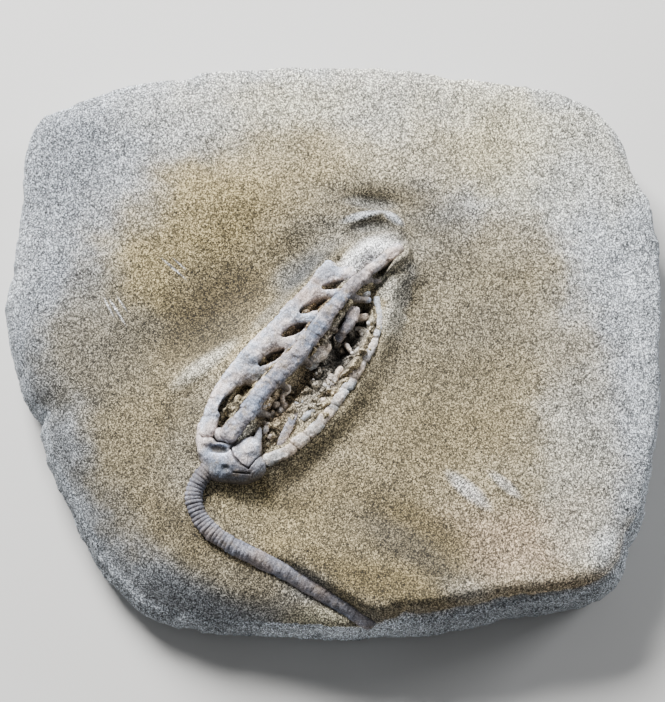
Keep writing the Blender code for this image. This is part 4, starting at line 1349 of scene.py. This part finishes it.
# Painted shade by depth below the piece's top, then painted highlight on edges with painted shade in
# creases.
SHADE_BY_DEPTH = (0.2, 2.2, 1.15, 0.30)
SHADE_BY_SWELL = (-0.22, 0.22, 0.15, 1.85)
CRACK_LINES = (1.7, 3.0, 0.6)
CRACK_SHADE = (0.0, 0.022, 0.55, 1.0)
SEAM_STRENGTH = (0.0, 1.0, 0.0, 0.65)
SPECKLE_CONTRAST = 5.0
SPECKLE_DARKEST = 0.47
GLINT = (0.80, 0.80, 0.82)
GLINT_BY_GRAIN = (0.90, 0.97, 0.0, 0.35)
FOSSIL_BUMPS = (0.35, 3.0, 0.7)
FOSSIL_BUMP_STRENGTH = 0.6
FOSSIL_BUMP_DEPTH = 0.12 * MM


def noise_span(tree, place, noise_form, span, kind="SMOOTHSTEP"):
    """Noise brought from one span of values to another."""
    return remap(tree, noise_value(tree, place, *noise_form), *span, kind=kind)


def stone_material():
    """Siltstone: grains of light and dark, on stains whose edges drift with a slow noise; some stains
    are painted shadow and a few partly painted highlight.
    """
    material, tree, shader = new_material("siltstone_dressed", STONE_ROUGHNESS)
    place = place_in_mm(tree)
    drift = add(tree, "ShaderNodeTexNoise", {"Vector": place, **DRIFT_NOISE})
    drift = {0: drift.outputs["Color"], 1: (0.5, 0.5, 0.5)}
    drift = add(tree, "ShaderNodeVectorMath", drift, operation="SUBTRACT").outputs["Vector"]
    moved = {0: drift, 1: STAIN_DRIFT, 2: place}
    moved = add(tree, "ShaderNodeVectorMath", moved, operation="MULTIPLY_ADD").outputs["Vector"]
    colour = None
    for *form, paint in STAINS:
        firm = form[3] < FIRM_STAIN
        colour = mix(tree, stain(tree, place if firm else moved, *form), colour or BLUE_GREY, paint)
    colour = mix(tree, attribute(tree, "side"), colour, SIDE_COLOUR)
    colour = mix(tree, attribute(tree, "rust"), colour, RUST_COLOUR)
    clouds = noise_span(tree, place, *CLOUDS, "LINEAR")
    mottle = noise_span(tree, place, *MOTTLE, "LINEAR")
    cells = grains(tree, place, GRAIN_SIZE)
    fine = power(tree, GRAIN_CONTRAST, cells)
    fine = product(tree, fine, power(tree, GRIT_CONTRAST, noise_value(tree, place, GRIT_SIZE)))
    coarse = power(tree, PATCH_CONTRAST, grains(tree, place, PATCH_SIZE))
    shade = product(tree, product(tree, clouds, mottle), product(tree, fine, coarse))
    shade = math_node(tree, "MINIMUM", product(tree, shade, GRAIN_DARKEST), GRAIN_PALEST)
    # The vertices' shade holds painted shade and highlight: in hollows, along the rim, in the side's
    # pits, on the front side faces, and on the clotted stone's edges and creases.
    colour = scaled(tree, colour, product(tree, shade, attribute(tree, "shade")))
    relief = math_node(tree, "ADD", cells, noise_value(tree, place, *STONE_BUMPS))
    dress(tree, shader, colour, relief, STONE_BUMP_STRENGTH, STONE_BUMP_DEPTH)
    return material


def fossil_material(name, colour, pale, dark):
    """Calcite: mottled and speckled, with dust in its seams and hollows, painted highlight on its
    edges, and painted shade in its creases and sunken places.
    """
    material, tree, shader = new_material(name, FOSSIL_ROUGHNESS)
    place = place_in_mm(tree)
    base = mix(tree, noise_span(tree, place, *PALE_MOTTLE), colour, pale)
    for *form, paint in FOSSIL_STAINS:
        base = mix(tree, stain(tree, place, *form), base, paint)
    tint = mix(tree, noise_span(tree, place, *TINTS), COOL_TINT, WARM_TINT)
    base = mix(tree, 1.0, base, tint, "MULTIPLY")
    low = remap(tree, attribute(tree, "sunk"), *DUST_BY_DEPTH)
    base = mix(tree, low, mix(tree, noise_span(tree, place, *DUST_PATCHES), base, DUST), DUST)
    cells = grains(tree, place, GRAIN_SIZE)
    speckle = product(tree, power(tree, SPECKLE_CONTRAST, cells), SPECKLE_DARKEST)
    # Painted highlight on edges, and painted shade in creases and sunken places.
    edge = remap_linear(tree, attribute(tree, "swell"), *SHADE_BY_SWELL)
    sunk = remap_linear(tree, attribute(tree, "sunk"), *SHADE_BY_DEPTH)
    line = math_node(tree, "SUBTRACT", noise_value(tree, place, *CRACK_LINES), 0.5)
    crack = remap_linear(tree, math_node(tree, "ABSOLUTE", line), *CRACK_SHADE)
    shade = product(tree, product(tree, speckle, crack), product(tree, edge, sunk))
    seam = remap_linear(tree, attribute(tree, "seam"), *SEAM_STRENGTH)
    paint = mix(tree, seam, scaled(tree, base, shade), dark)
    paint = mix(tree, remap(tree, cells, *GLINT_BY_GRAIN), paint, GLINT)
    relief = noise_value(tree, place, *FOSSIL_BUMPS)
    dress(tree, shader, paint, relief, FOSSIL_BUMP_STRENGTH, FOSSIL_BUMP_DEPTH)
    return material


# ---------------------------------------------------------------- camera, light and floor


def make_camera():
    camera = bpy.data.objects.new("camera", bpy.data.cameras.new("camera"))
    camera.data.lens = CAMERA_LENS
    outward = Vector((0, -math.cos(CAMERA_ELEVATION), math.sin(CAMERA_ELEVATION)))
    camera.location = (Vector(CAMERA_TARGET) + outward * CAMERA_DISTANCE) * MM
    camera.rotation_euler = (math.pi / 2 - CAMERA_ELEVATION, 0, 0)
    camera.data.clip_start = 0.01
    bpy.context.scene.collection.objects.link(camera)
    bpy.context.scene.camera = camera


def area_light(name, direction, distance, size, power, colour):
    lamp = bpy.data.lights.new(name, "AREA")
    lamp.size = size * MM
    lamp.energy = power
    lamp.color = colour
    obj = bpy.data.objects.new(name, lamp)
    obj.location = Vector(direction).normalized() * distance * MM
    obj.rotation_euler = Vector(direction).to_track_quat("Z", "Y").to_euler()
    bpy.context.scene.collection.objects.link(obj)


def make_light():
    world = bpy.data.worlds.new("studio")
    bpy.context.scene.world = world
    world.use_nodes = True
    background = world.node_tree.nodes["Background"]
    background.inputs["Color"].default_value = SKY_COLOUR
    background.inputs["Strength"].default_value = SKY_STRENGTH
    for name, light in LIGHTS.items():
        area_light(name, *light)


def make_floor():
    mesh = bpy.data.meshes.new("floor")
    corners = [(-1, -1, 0), (1, -1, 0), (1, 1, 0), (-1, 1, 0)]
    mesh.from_pydata([FLOOR_HALF * Vector(corner) for corner in corners], [], [(0, 1, 2, 3)])
    material, _, shader = new_material("floor", FLOOR_ROUGHNESS)
    shader.inputs["Base Color"].default_value = FLOOR_COLOUR
    mesh.materials.append(material)
    floor = bpy.data.objects.new("floor", mesh)
    floor.location.z = -FLOOR_DROP
    bpy.context.scene.collection.objects.link(floor)


make_camera()
make_light()
make_floor()
siltstone = stone_material()
make_stone(siltstone)
make_fill(siltstone)
calcite = {name: fossil_material(name + "_calcite", *paints) for name, paints in CALCITE.items()}
make_arms(calcite["arms"], calcite["middle"], calcite["dusty"])
make_rubble(calcite["dusty"])
make_cup(calcite["cup"])
make_stem(calcite["stem"])
